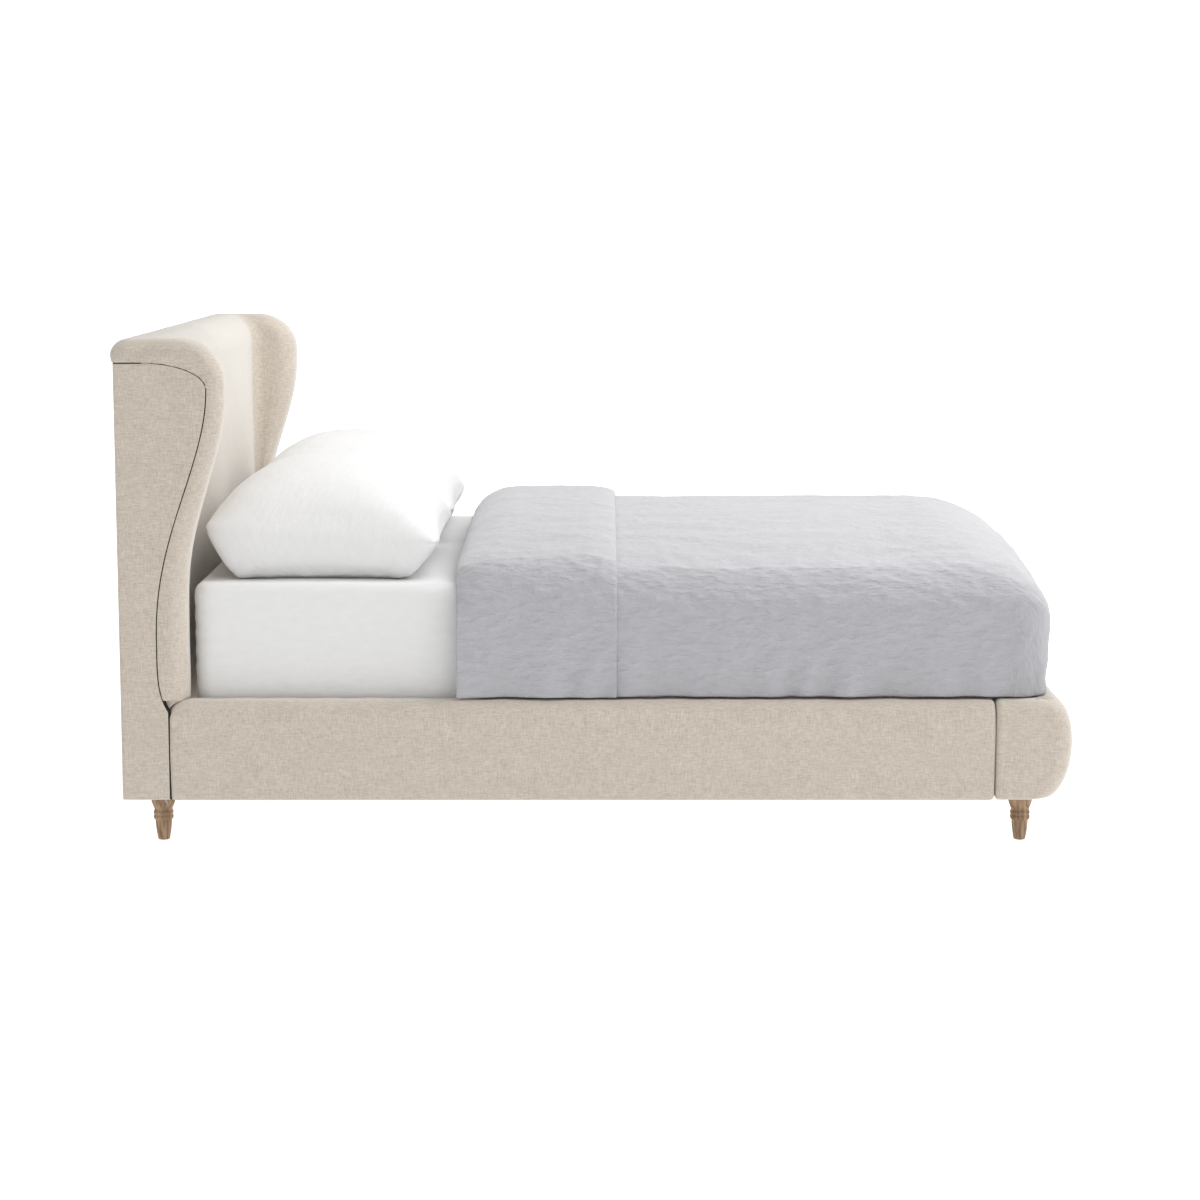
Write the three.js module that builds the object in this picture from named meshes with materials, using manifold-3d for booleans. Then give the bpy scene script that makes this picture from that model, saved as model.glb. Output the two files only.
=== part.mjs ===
// A king-size upholstered bed with a winged headboard, made up with its bedding.
// Units are millimetres. +X runs across the bed, +Y towards the headboard and +Z up.
// The floor is z = 0, and the origin is under the middle of the bed.
import * as THREE from 'three';
import { mergeVertices } from 'three/addons/utils/BufferGeometryUtils.js';
import Module from 'manifold-3d';

const wasm = await Module();
wasm.setup();

// ---- Driving dimensions ----
const gap = 0.3;
const halfLength = 1130;
const halfWidth = 820;
const baseHeight = 105;
const railTop = 342;

// Headboard depths are measured forwards from its flat back.
const headTop = 1196;
const headDepth = 136;
const sideDepth = 113;
const wingThickness = 105;
const seamWaist = 88;
const waistHeight = 478;
const seamCrown = 216;
const seamTop = 1140;
const seamCornerDeep = 150;
const seamCornerHigh = 60;
const rollLow = 158;
const rollHigh = 256;
const topRound = 50;
const crownHeight = 100;
const crownReach = 105;
const frontRound = 75;
const skirtTop = 262;
const rollStart = 560;
const backRound = 35;
const coverThickness = 10;
const sidePanelThickness = 8;
const backPanelThickness = 3;

// Timber inside the headboard.
const stileDepth = 42;
const stileOuter = 793.4;
const stileInner = 733;
const blockInner = 690;
const blockTop = 250;
const timberTop = 1128;
const topRailHeight = 60;
const plywoodThickness = 9;
const formerThickness = 18;
const formerInset = 12;

// Side rails and footboard.
const railHead = 1017;
const railFoot = -941.5;
const railInner = 758;
const railBoard = 25;
const railInnerWall = 5;
const railTopWall = 11.7;
const railTopRound = 25;
const railEndRound = 35;
const footInnerFace = -1043;
const footBulgeHeight = 240;
const footCornerRound = 50;
const footTuck = 62;
const footTopDraw = 45;
const footFrameRise = 24;
const footShell = 8;
const footBoard = 25;

// Slats and what carries them.
const ledgerSize = 30;
const ledgerWidth = 35;
const slatCount = 13;
const slatWidth = 90;
const slatThickness = 18;
const slatLength = 1506;
const centreRailWidth = 45;
const centreRailHeight = 60;
const legSize = 45;
const legOffset = 500;
const glideRadius = 20;
const glidePad = 9;
const glideStem = 4;
const legBottom = 34;

// Feet.
const footX = 770;
const headFootY = 1041;
const tailFootY = -1009;

// Bedding.
const mattressWidth = 1500;
const mattressLength = 2000;
const mattressHead = 965;
const mattressTop = 614;
const sheetThickness = 1.7;
const mattressRound = 25;
const mattressCorner = 45;
const pillowX = 354;
const pillowY = 664;
const duvetHead = 335;
const foldFoot = -46;
const duvetFoot = -1084;
const duvetHem = 345;
const duvetHalf = 790;
const duvetTop = 735;
const foldRise = 27;

const back = halfLength;
const slatTop = mattressTop - 302;
const slatBottom = slatTop - slatThickness;
const ledgerTop = slatBottom - gap;

// ---- Materials ----
const linen = () => new THREE.MeshStandardMaterial({ color: 0xc9bfb1, roughness: 0.95, metalness: 0 });
const lining = () => new THREE.MeshStandardMaterial({ color: 0x8f877b, roughness: 0.95, metalness: 0 });
const foam = () => new THREE.MeshStandardMaterial({ color: 0xe9dfbd, roughness: 1, metalness: 0 });
const pine = () => new THREE.MeshStandardMaterial({ color: 0xd9b98a, roughness: 0.7, metalness: 0 });
const birch = () => new THREE.MeshStandardMaterial({ color: 0xe0c69b, roughness: 0.6, metalness: 0 });
const oak = () => new THREE.MeshStandardMaterial({ color: 0xa98560, roughness: 0.5, metalness: 0 });
const zinc = () => new THREE.MeshStandardMaterial({ color: 0xb4b7ba, roughness: 0.4, metalness: 0.9 });
const blackNylon = () => new THREE.MeshStandardMaterial({ color: 0x2a2a2c, roughness: 0.6, metalness: 0 });
const ticking = () => new THREE.MeshStandardMaterial({ color: 0xf1eee6, roughness: 0.95, metalness: 0 });
const whiteCotton = () => new THREE.MeshStandardMaterial({ color: 0xf4f4f2, roughness: 0.9, metalness: 0 });
const greyCotton = () => new THREE.MeshStandardMaterial({ color: 0xc3c4cb, roughness: 0.9, metalness: 0 });

// ---- Helpers ----
const bed = new THREE.Group();
bed.name = 'upholstered_headboard_bed';

function addPiece(name, geometry, material) {
  const piece = new THREE.Mesh(geometry, material);
  piece.name = name;
  bed.add(piece);
  return piece;
}

// A box given by its two opposite corners.
function boxBetween(low, high) {
  const size = high.map((value, i) => value - low[i]);
  const box = new THREE.BoxGeometry(...size);
  box.translate(...low.map((value, i) => value + size[i] / 2));
  return box;
}

// The same box on the other side of the bed when side is -1.
function sideBox(side, low, high) {
  if (side > 0) return boxBetween(low, high);
  return boxBetween([-high[0], low[1], low[2]], [-low[0], high[1], high[2]]);
}

function solid(geometry) {
  const bare = geometry.clone();
  bare.deleteAttribute('normal');
  bare.deleteAttribute('uv');
  const merged = mergeVertices(bare, 1e-3);
  return new wasm.Manifold(new wasm.Mesh({
    numProp: 3,
    vertProperties: new Float32Array(merged.attributes.position.array),
    triVerts: new Uint32Array(merged.index.array),
  }));
}

function geometryOf(manifold) {
  const mesh = manifold.getMesh();
  const geometry = new THREE.BufferGeometry();
  geometry.setAttribute('position', new THREE.BufferAttribute(mesh.vertProperties, 3));
  geometry.setIndex(new THREE.BufferAttribute(mesh.triVerts, 1));
  geometry.computeVertexNormals();
  return geometry;
}

function cut(geometry, ...tools) {
  const result = tools.reduce((left, tool) => left.subtract(solid(tool)), solid(geometry));
  return geometryOf(result);
}

function join(first, ...others) {
  return geometryOf(others.reduce((sum, other) => sum.add(solid(other)), solid(first)));
}

function common(first, second) {
  return geometryOf(solid(first).intersect(solid(second)));
}

// Mirrors a geometry across the bed and turns its faces the right way out again.
function mirrored(geometry) {
  const flipped = geometry.index ? geometry.toNonIndexed() : geometry.clone();
  flipped.scale(-1, 1, 1);
  const position = flipped.attributes.position;
  for (let i = 0; i < position.count; i += 3) {
    const second = [position.getX(i + 1), position.getY(i + 1), position.getZ(i + 1)];
    position.setXYZ(i + 1, position.getX(i + 2), position.getY(i + 2), position.getZ(i + 2));
    position.setXYZ(i + 2, ...second);
  }
  flipped.computeVertexNormals();
  return flipped;
}

const onSide = (side, geometry) => (side > 0 ? geometry : mirrored(geometry));

// Skins a stack of outlines that all have the same number of points, and closes both ends.
// Each outline runs anticlockwise seen from the end of the stack; flat gives its [x, y] there.
function loft(outlines, flat = ([x, y]) => [x, y]) {
  const count = outlines[0].length;
  const faces = [];
  for (let row = 0; row + 1 < outlines.length; row += 1) {
    for (let i = 0; i < count; i += 1) {
      const here = row * count + i;
      const next = row * count + ((i + 1) % count);
      faces.push([here, next, next + count], [here, next + count, here + count]);
    }
  }
  const cap = (outline) => {
    const contour = outline.map((point) => new THREE.Vector2(...flat(point)));
    return THREE.ShapeUtils.triangulateShape(contour, []);
  };
  const last = (outlines.length - 1) * count;
  cap(outlines[0]).forEach(([a, b, c]) => faces.push([c, b, a]));
  cap(outlines[outlines.length - 1]).forEach((face) => faces.push(face.map((i) => last + i)));
  const geometry = new THREE.BufferGeometry();
  geometry.setAttribute('position', new THREE.Float32BufferAttribute(outlines.flat(2), 3));
  geometry.setIndex(faces.flat());
  geometry.computeVertexNormals();
  return geometry;
}

// The same, for outlines that stand upright and are stacked from the head to the foot.
const loftAlong = (outlines) => loft(outlines, ([x, , z]) => [x, z]);

// Points on part of an ellipse, angles in degrees.
function arc(centreX, centreY, radiusX, radiusY, from, to, steps) {
  return Array.from({ length: steps + 1 }, (_, i) => {
    const angle = THREE.MathUtils.degToRad(from + ((to - from) * i) / steps);
    return [centreX + radiusX * Math.cos(angle), centreY + radiusY * Math.sin(angle)];
  });
}

// A right half outline, from its middle bottom to its middle top, with its mirror image.
function bothHalves(half) {
  const other = half.map(([x, y]) => [-x, y]).reverse();
  return [...half, ...other];
}

// How far a rounded edge has drawn in at a height, for a round that ends at the top.
function roundInset(z, top, radius) {
  const up = THREE.MathUtils.clamp((z - top + radius) / radius, 0, 1);
  return radius * (1 - Math.sqrt(1 - up * up));
}

// Heights that follow a round of the given radius up to the top.
function roundLevels(top, radius, steps) {
  return arc(0, top - radius, radius, radius, 0, 90, steps).map(([, z]) => z);
}

// Evenly spaced values, both ends included.
const spaced = (from, to, steps) => (
  Array.from({ length: steps + 1 }, (_, i) => from + ((to - from) * i) / steps));

// An upright side profile, given as [y, z] points, made solid between two values of x.
function sideProfile(points, fromX, toX) {
  const shape = new THREE.Shape(points.map(([y, z]) => new THREE.Vector2(y, z)));
  const geometry = new THREE.ExtrudeGeometry(shape, { depth: toX - fromX, bevelEnabled: false });
  const alongBed = new THREE.Vector3(0, 1, 0);
  const upwards = new THREE.Vector3(0, 0, 1);
  const across = new THREE.Vector3(1, 0, 0);
  geometry.applyMatrix4(new THREE.Matrix4().makeBasis(alongBed, upwards, across));
  geometry.translate(fromX, 0, 0);
  return geometry;
}

// A hole for a bolt, along x or y.
function boltHole(x, y, z, axis) {
  const holeRadius = 4.6;
  const drill = new THREE.CylinderGeometry(holeRadius, holeRadius, 120, 12);
  if (axis === 'x') drill.rotateZ(Math.PI / 2);
  drill.translate(x, y, z);
  return drill;
}

// ---- Headboard shape ----
// A slow start and a soft finish between 0 and 1.
function sweep(low, high, z) {
  const up = THREE.MathUtils.clamp((z - low) / (high - low), 0, 1) ** 1.2;
  return up * up * (3 - 2 * up);
}

// Depth of the seam between the side panel and the roll.
function seamDepth(z) {
  const flareHeight = 316;
  const crownSeam = 1078;
  if (z <= flareHeight) return sideDepth;
  if (z < waistHeight) {
    const down = (waistHeight - z) / (waistHeight - flareHeight);
    return seamWaist + (sideDepth - seamWaist) * down ** 4;
  }
  return seamWaist + (seamCrown - seamWaist) * sweep(waistHeight, crownSeam, z);
}

// Depth of the front of the wing's roll. Below the mattress it is nearly flush with the front.
function rollDepth(z, inset) {
  const rollFull = 1060;
  const skirtDepth = headDepth + 2;
  const skirt = skirtDepth + (rollLow - skirtDepth) * THREE.MathUtils.smoothstep(z, skirtTop, railTop);
  const depth = skirt + (rollHigh - rollLow) * sweep(rollStart, rollFull, z) - inset;
  const up = THREE.MathUtils.clamp((z - headTop + crownHeight) / (crownHeight - inset), 0, 1);
  return depth - (crownReach - inset) * (1 - Math.sqrt(1 - up * up));
}

// The headboard's outline at one height, seen from above, drawn in by an inset.
function headboardOutline(z, inset, steps) {
  const seamToRoll = 41;
  const hollowWidth = 45 + inset;
  const noseRound = 48;
  const noseShare = 0.55;
  const hollowShare = 0.44;
  const top = headTop - inset;
  const side = halfWidth - inset - roundInset(z, top, topRound - inset);
  const inner = halfWidth - wingThickness + inset + roundInset(z, top, topRound - inset);
  const front = headDepth - inset - roundInset(z, top, frontRound - inset);
  const lip = z > seamTop ? inset : -inset;
  const rear = lip + roundInset(z, top, backRound - inset / 2);
  const roll = rollDepth(z, inset);
  const middle = (side + inner) / 2;
  const seam = Math.min(seamDepth(z), roll + inset - seamToRoll) - inset / 2;
  const convex = Math.min(noseRound, (roll - front) * noseShare);
  const concave = Math.min(hollowWidth, (roll - front) * hollowShare);
  const y = (depth) => back - depth;
  return bothHalves([
    ...arc(inner - hollowWidth, y(front + concave), hollowWidth, concave, 90, 0, steps - 1),
    ...arc(middle, y(roll - convex), middle - inner, convex, 180, 270, steps),
    ...arc(middle, y(seam), side - middle, roll - seam, 270, 360, steps).slice(1),
    [side, y(rear)],
  ]).map(([px, py]) => [px, py, z]);
}

function headboardLoft(inset, steps, bottom) {
  const crownSteps = steps + 1;
  const shoulder = headTop - crownHeight;
  const aboveRail = 380;
  const rollRise = 60;
  const levels = [
    bottom,
    skirtTop,
    (skirtTop + railTop) / 2,
    railTop,
    ...spaced(aboveRail, rollStart, 2),
    ...spaced(rollStart + rollRise, shoulder, 2 * steps),
    seamTop,
    seamTop + 2,
    ...roundLevels(headTop - inset, crownHeight - inset, crownSteps).slice(1),
  ].sort((a, b) => a - b);
  return loft(levels.map((z) => headboardOutline(z, inset, steps)));
}

// The side panel's outline as [y, z] points, drawn in by an inset; rear is how far back it goes.
function seamProfile(inset, rear) {
  const deep = seamCornerDeep - inset;
  const high = seamCornerHigh - inset;
  const top = seamTop - inset;
  const flare = [300, 330, 352, 376, 410];
  const curve = [...flare, ...spaced(waistHeight, seamTop - seamCornerHigh, 13)];
  const y = (depth) => back - depth;
  const cornerArc = arc(y(seamCrown - inset - deep), top - high, deep, high, 180, 90, 8);
  return [
    [y(rear), baseHeight],
    [y(sideDepth - inset), baseHeight],
    ...curve.slice(0, -1).map((z) => [y(seamDepth(z) - inset), z]),
    ...cornerArc,
    [y(rear), top],
  ];
}

// The room a side rail's end takes up against the headboard.
function railRoom(clearance) {
  const radius = railEndRound + clearance;
  const endY = railHead + clearance;
  const top = railTop + clearance;
  const low = baseHeight - 40;
  const profile = [
    [railHead - 200, low],
    [endY, low],
    ...arc(endY - radius, top - radius, radius, radius, 0, 90, 5),
    [railHead - 200, top],
  ];
  const room = sideProfile(profile, railInner - clearance, halfWidth + 30);
  return [room, mirrored(room)];
}

// ---- Headboard pieces ----
const headBoltX = 722;
const boltZ = 180;
const footBoltY = -978;

function headboardCover() {
  const low = baseHeight - 30;
  const cavity = cut(headboardLoft(coverThickness, 4, low), ...railRoom(gap + coverThickness));
  const pocket = sideProfile(seamProfile(-gap, -10).map(lowerEnd), halfWidth - 15, halfWidth + 10);
  const bolts = [-1, 1].map((side) => boltHole(side * headBoltX, back - headDepth, boltZ, 'y'));
  const outside = cut(headboardLoft(0, 5, baseHeight), ...railRoom(gap));
  return cut(outside, cavity, pocket, mirrored(pocket), ...bolts);
}

// Lets a cutting profile run out below the piece it cuts.
function lowerEnd([y, z]) {
  return [y, z === baseHeight ? z - 10 : z];
}

function wingSidePanel(side) {
  const panel = sideProfile(seamProfile(0, 0), halfWidth - sidePanelThickness, halfWidth);
  return onSide(side, panel);
}

function headboardBackPanel() {
  const half = halfWidth - sidePanelThickness - gap;
  return boxBetween([-half, back - backPanelThickness, baseHeight], [half, back, seamTop - gap]);
}

const timberRear = back - backPanelThickness - gap;
const timberFront = timberRear - stileDepth + gap;

function headboardStile(side) {
  const railEndPadding = 10.7;
  const blockOuter = 747;
  const railSide = railHead + railEndPadding;
  const blockFront = back - headDepth + coverThickness + gap;
  const upright = sideBox(1, [stileInner, timberFront, baseHeight], [stileOuter, timberRear, timberTop]);
  const outerBlock = sideBox(1, [stileInner, railSide, baseHeight], [stileOuter, timberRear, blockTop]);
  const innerBlock = sideBox(1, [blockInner, blockFront, baseHeight], [blockOuter, timberRear, blockTop]);
  const stile = join(upright, outerBlock, innerBlock);
  return onSide(side, cut(stile, boltHole(headBoltX, blockFront, boltZ, 'y')));
}

function headboardTopRail() {
  const half = stileInner - gap;
  return boxBetween([-half, timberFront, timberTop - topRailHeight], [half, timberRear, timberTop]);
}

function headboardBottomRail() {
  const half = blockInner - gap;
  return boxBetween([-half, timberFront, baseHeight], [half, timberRear, blockTop]);
}

function headboardPlywood() {
  const rear = timberFront - gap;
  const low = blockTop + gap;
  return boxBetween([-stileOuter, rear - plywoodThickness, low], [stileOuter, rear, timberTop]);
}

function wingFormer(side) {
  const outer = halfWidth - sidePanelThickness - gap;
  const profile = seamProfile(formerInset, backPanelThickness + gap);
  return onSide(side, sideProfile(profile, outer - formerThickness, outer));
}

function headboardFoam() {
  const wide = halfWidth + 20;
  const low = baseHeight - 20;
  const plyFront = timberFront - gap - plywoodThickness - gap;
  const timbers = boxBetween([-stileOuter - gap, plyFront, low], [stileOuter + gap, back + 20, timberTop + gap]);
  const backRoom = boxBetween([-wide, timberRear, low], [wide, back + 20, headTop]);
  const topLip = boxBetween([-wide, back - 12, timberTop + gap], [wide, back + 20, headTop]);
  const former = sideProfile(seamProfile(formerInset - gap, -10).map(lowerEnd), stileOuter, wide);
  const railWall = 11;
  const ahead = 900;
  const blocks = [-1, 1].map((side) => (
    sideBox(side, [blockInner - gap, ahead, low], [wide, back, blockTop + gap])));
  const railZone = [-1, 1].map((side) => (
    sideBox(side, [railInner - railWall, ahead, low], [wide, back, railTop + railWall])));
  const body = headboardLoft(coverThickness + gap, 4, baseHeight);
  return cut(body, timbers, backRoom, topLip, former, mirrored(former), ...blocks, ...railZone);
}

addPiece('headboard_cover', headboardCover(), linen());
addPiece('wing_side_panel_left', wingSidePanel(-1), linen());
addPiece('wing_side_panel_right', wingSidePanel(1), linen());
addPiece('headboard_back_panel', headboardBackPanel(), lining());
addPiece('headboard_foam', headboardFoam(), foam());
addPiece('headboard_plywood', headboardPlywood(), birch());
addPiece('headboard_stile_left', headboardStile(-1), pine());
addPiece('headboard_stile_right', headboardStile(1), pine());
addPiece('headboard_top_rail', headboardTopRail(), pine());
addPiece('headboard_bottom_rail', headboardBottomRail(), pine());
addPiece('wing_former_left', wingFormer(-1), birch());
addPiece('wing_former_right', wingFormer(1), birch());

// ---- Side rails ----
const boardInner = railInner + railInnerWall + gap;
const boardTop = railTop - railTopWall - gap;
const boardHeadEnd = 15;

function railCover(side) {
  const innerRound = 6;
  const section = [
    [railInner, baseHeight],
    [halfWidth, baseHeight],
    ...arc(halfWidth - railTopRound, railTop - railTopRound, railTopRound, railTopRound, 0, 90, 5),
    ...arc(railInner + innerRound, railTop - innerRound, innerRound, innerRound, 90, 180, 2),
  ];
  const along = loftAlong([railHead, railFoot].map((y) => section.map(([x, z]) => [x, y, z])));
  const ends = sideProfile([
    [railFoot, baseHeight],
    [railHead, baseHeight],
    ...arc(railHead - railEndRound, railTop - railEndRound, railEndRound, railEndRound, 0, 90, 5),
    [railFoot, railTop],
  ], railInner - 1, halfWidth + 1);
  const cavity = boxBetween(
    [boardInner - gap, railFoot + railInnerWall, baseHeight - 10],
    [boardInner + railBoard + gap, railHead - boardHeadEnd, boardTop + gap]);
  return onSide(side, cut(common(along, ends), cavity));
}

function railBoardPiece(side) {
  return sideBox(side,
    [boardInner, railFoot + railInnerWall + gap, baseHeight],
    [boardInner + railBoard, railHead - boardHeadEnd - gap, boardTop]);
}

function slatLedger(side) {
  const inner = railInner - gap - ledgerWidth;
  const [foot, head] = [-1028, 960];
  return sideBox(side, [inner, foot, ledgerTop - ledgerSize], [railInner - gap, head, ledgerTop]);
}

[[-1, 'left'], [1, 'right']].forEach(([side, word]) => {
  addPiece(`rail_cover_${word}`, railCover(side), linen());
  addPiece(`rail_board_${word}`, railBoardPiece(side), pine());
  addPiece(`slat_ledger_${word}`, slatLedger(side), pine());
});

// ---- Footboard ----
// How far the front of the footboard has drawn in from its fullest line at a height.
function footInset(z, top) {
  const down = Math.min((footBulgeHeight - z) / (footBulgeHeight - baseHeight), 1);
  if (down > 0) return footTuck * (1 - Math.sqrt(1 - down * down));
  const up = Math.min((z - footBulgeHeight) / (top - footBulgeHeight), 1);
  return footTopDraw * (1 - Math.sqrt(1 - up * up));
}

// The footboard's U-shaped outline at one height; outerWall and innerWall draw it in.
function footboardOutline(z, outerWall, innerWall, steps) {
  const top = railTop - outerWall;
  const innerRound = 6;
  const innerCorner = 12;
  const side = halfWidth - outerWall - roundInset(z, top, railTopRound - outerWall);
  const inner = railInner + innerWall + roundInset(z, top, innerRound);
  const endY = railFoot - gap - innerWall;
  const faceY = footInnerFace - innerWall - roundInset(z, top, innerRound);
  const frontY = outerWall - halfLength + footInset(Math.min(z, top), top);
  const corner = footCornerRound - outerWall;
  const half = [
    ...arc(side - corner, frontY + corner, corner, corner, 270, 360, steps),
    [side, endY],
    [inner, endY],
    ...arc(inner - innerCorner, faceY + innerCorner, innerCorner, innerCorner, 360, 270, 2),
  ];
  return bothHalves(half).map(([x, y]) => [x, y, z]);
}

function footboardLoft(outerWall, innerWall, steps, bottom) {
  const top = railTop - outerWall;
  const levels = [
    bottom,
    ...roundLevels(footBulgeHeight - baseHeight, footBulgeHeight - baseHeight, steps + 1)
      .map((below) => footBulgeHeight - below)
      .filter((z) => z > bottom)
      .reverse(),
    ...spaced(footBulgeHeight, top - railTopRound + outerWall, 3).slice(1),
    ...roundLevels(top, railTopRound - outerWall, steps - 1).slice(1),
  ];
  return loft(levels.map((z) => footboardOutline(z, outerWall, innerWall, steps)));
}

const cheekInner = railInner + railInnerWall + gap;
const footFrameFace = footInnerFace - railInnerWall - gap;
const footFrameTop = 320;

function footBoltHoles() {
  return [-1, 1].map((side) => boltHole(side * (railInner + 20), footBoltY, boltZ, 'x'));
}

function footboardCover() {
  const cavity = footboardLoft(footShell, railInnerWall, 4, baseHeight - 20);
  return cut(footboardLoft(0, 0, 5, baseHeight), cavity, ...footBoltHoles().map(shorten));
}

// Keeps a bolt hole inside the cheek, so that it stops short of the outer face.
function shorten(hole) {
  hole.computeBoundingBox();
  const centre = hole.boundingBox.getCenter(new THREE.Vector3());
  hole.translate(-centre.x, 0, 0);
  hole.scale(0.4, 1, 1);
  hole.translate(centre.x, 0, 0);
  return hole;
}

function footboardFrame() {
  const outer = cheekInner + footBoard;
  const front = footFrameFace - footBoard;
  const end = railFoot - gap - railInnerWall - gap;
  const overlap = 1;
  const boardLow = baseHeight + footFrameRise;
  const board = boxBetween([-outer, front, boardLow], [outer, footFrameFace, footFrameTop]);
  const cheeks = [-1, 1].map((side) => (
    sideBox(side, [cheekInner, footFrameFace - overlap, baseHeight], [outer, end, footFrameTop])));
  return cut(join(board, ...cheeks), ...footBoltHoles().map(shorten));
}

function footboardPadding() {
  const low = baseHeight - 20;
  const outer = cheekInner + footBoard + gap;
  const front = footFrameFace - footBoard - gap;
  const frameRoom = boxBetween([-outer, front, low], [outer, -900, footFrameTop + gap]);
  return cut(footboardLoft(footShell + gap, railInnerWall + gap, 4, baseHeight), frameRoom);
}

addPiece('footboard_cover', footboardCover(), linen());
addPiece('footboard_frame', footboardFrame(), pine());
addPiece('footboard_padding', footboardPadding(), foam());

// ---- Brackets and bolts ----
const plateThickness = 4;
const plateLow = 130;
const plateHigh = 230;
const plateOuter = railInner - gap;
const headFace = back - headDepth - 2 - gap;

function headBracket(side) {
  const plateInner = plateOuter - plateThickness;
  const railReach = 880;
  const acrossReach = 690;
  const alongRail = sideBox(1, [plateInner, railReach, plateLow], [plateOuter, headFace, plateHigh]);
  const acrossHead = sideBox(1,
    [acrossReach, headFace - plateThickness, plateLow],
    [plateOuter, headFace, plateHigh]);
  return onSide(side, cut(join(alongRail, acrossHead), boltHole(headBoltX, headFace, boltZ, 'y')));
}

function footPlate(side) {
  const [foot, head] = [-1010, -870];
  const plate = sideBox(1, [plateOuter - plateThickness, foot, plateLow], [plateOuter, head, plateHigh]);
  return onSide(side, cut(plate, boltHole(plateOuter, footBoltY, boltZ, 'x')));
}

// A bolt with its head at the origin and its shank along +Y.
function bolt(length) {
  const profile = [[0, -6], [8, -6], [8, 0], [4, 0], [4, length], [0, length]];
  return new THREE.LatheGeometry(profile.map(([r, y]) => new THREE.Vector2(r, y)), 12);
}

[[-1, 'left'], [1, 'right']].forEach(([side, word]) => {
  addPiece(`head_bracket_${word}`, headBracket(side), zinc());
  addPiece(`foot_plate_${word}`, footPlate(side), zinc());
  const headBolt = addPiece(`head_bolt_${word}`, bolt(52), zinc());
  headBolt.position.set(side * headBoltX, headFace - plateThickness - gap, boltZ);
  const footBolt = addPiece(`foot_bolt_${word}`, bolt(28), zinc());
  footBolt.rotation.z = -side * (Math.PI / 2);
  footBolt.position.set(side * (plateOuter - plateThickness - gap), footBoltY, boltZ);
});

// ---- Slats, centre rail and its legs ----
const railHighZ = slatBottom - gap;
const railLowZ = railHighZ - centreRailHeight;

function slat(index) {
  const piece = new THREE.BoxGeometry(slatLength, slatWidth, slatThickness);
  const firstY = mattressHead - mattressLength + 50;
  const lastY = mattressHead - 50;
  const y = firstY + ((lastY - firstY) * index) / (slatCount - 1);
  const mesh = addPiece(`slat_${String(index + 1).padStart(2, '0')}`, piece, birch());
  mesh.position.set(0, y, (slatTop + slatBottom) / 2);
}

const headRailEnd = headFace + 2 - plateThickness - gap;
const footRailEnd = footInnerFace + gap + plateThickness + gap;

function centreRail() {
  const half = centreRailWidth / 2;
  return boxBetween([-half, footRailEnd, railLowZ], [half, headRailEnd, railHighZ]);
}

// An angle that carries one end of the centre rail; side is +1 at the head and -1 at the foot.
function railHanger(side) {
  const half = 30;
  const low = 150;
  const reach = 52;
  const face = side > 0 ? headFace + 2 : footInnerFace + gap;
  const inside = face - side * plateThickness;
  const tip = face - side * reach;
  const order = (a, b) => [Math.min(a, b), Math.max(a, b)];
  const [uprightLow, uprightHigh] = order(face, inside);
  const [shelfLow, shelfHigh] = order(face, tip);
  const shelfTop = railLowZ - gap;
  const upright = boxBetween([-half, uprightLow, low], [half, uprightHigh, railHighZ]);
  const shelf = boxBetween([-half, shelfLow, shelfTop - plateThickness], [half, shelfHigh, shelfTop]);
  return join(upright, shelf);
}

function centreLeg() {
  const half = legSize / 2;
  const post = boxBetween([-half, -half, legBottom], [half, half, railLowZ - gap]);
  const boreTop = 90;
  const bore = new THREE.CylinderGeometry(5.2, 5.2, 2 * (boreTop - legBottom), 16);
  bore.rotateX(Math.PI / 2);
  bore.translate(0, 0, legBottom);
  return cut(post, bore);
}

function glide() {
  const stemTop = 62;
  const profile = [
    [0, 0],
    [glideRadius - 1, 0],
    [glideRadius, 2],
    [glideRadius, glidePad - 3],
    [glideRadius - 5, glidePad],
    [glideStem, glidePad],
    [glideStem, stemTop],
    [0, stemTop],
  ];
  const turned = new THREE.LatheGeometry(profile.map(([r, y]) => new THREE.Vector2(r, y)), 20);
  return turned.rotateX(Math.PI / 2);
}

Array.from({ length: slatCount }, (_, index) => slat(index));
addPiece('centre_rail', centreRail(), pine());
addPiece('centre_rail_hanger_head', railHanger(1), zinc());
addPiece('centre_rail_hanger_foot', railHanger(-1), zinc());
[[1, 'head'], [-1, 'foot']].forEach(([end, word]) => {
  addPiece(`centre_leg_${word}`, centreLeg(), pine()).position.y = end * legOffset;
  addPiece(`levelling_glide_${word}`, glide(), blackNylon()).position.y = end * legOffset;
});

// ---- Feet ----
// A turned foot: a flared collar, two beads and a tapering peg.
function turnedFoot() {
  const profile = [
    [0, 0],
    [11.5, 0],
    [14, 2],
    [15.4, 9],
    [18, 24],
    [19.6, 46],
    [21.6, 48],
    [23.4, 53],
    [22.6, 58],
    [23.4, 63],
    [22, 68],
    [22.4, 73],
    [26, 81],
    [28.6, 90],
    [29.6, baseHeight - gap],
    [0, baseHeight - gap],
  ];
  const turned = new THREE.LatheGeometry(profile.map(([r, y]) => new THREE.Vector2(r, y)), 18);
  return turned.rotateX(Math.PI / 2);
}

[[headFootY, 'head'], [tailFootY, 'foot']].forEach(([y, end]) => {
  [[-1, 'left'], [1, 'right']].forEach(([side, word]) => {
    addPiece(`turned_foot_${end}_${word}`, turnedFoot(), oak()).position.set(side * footX, y, 0);
  });
});

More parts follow.
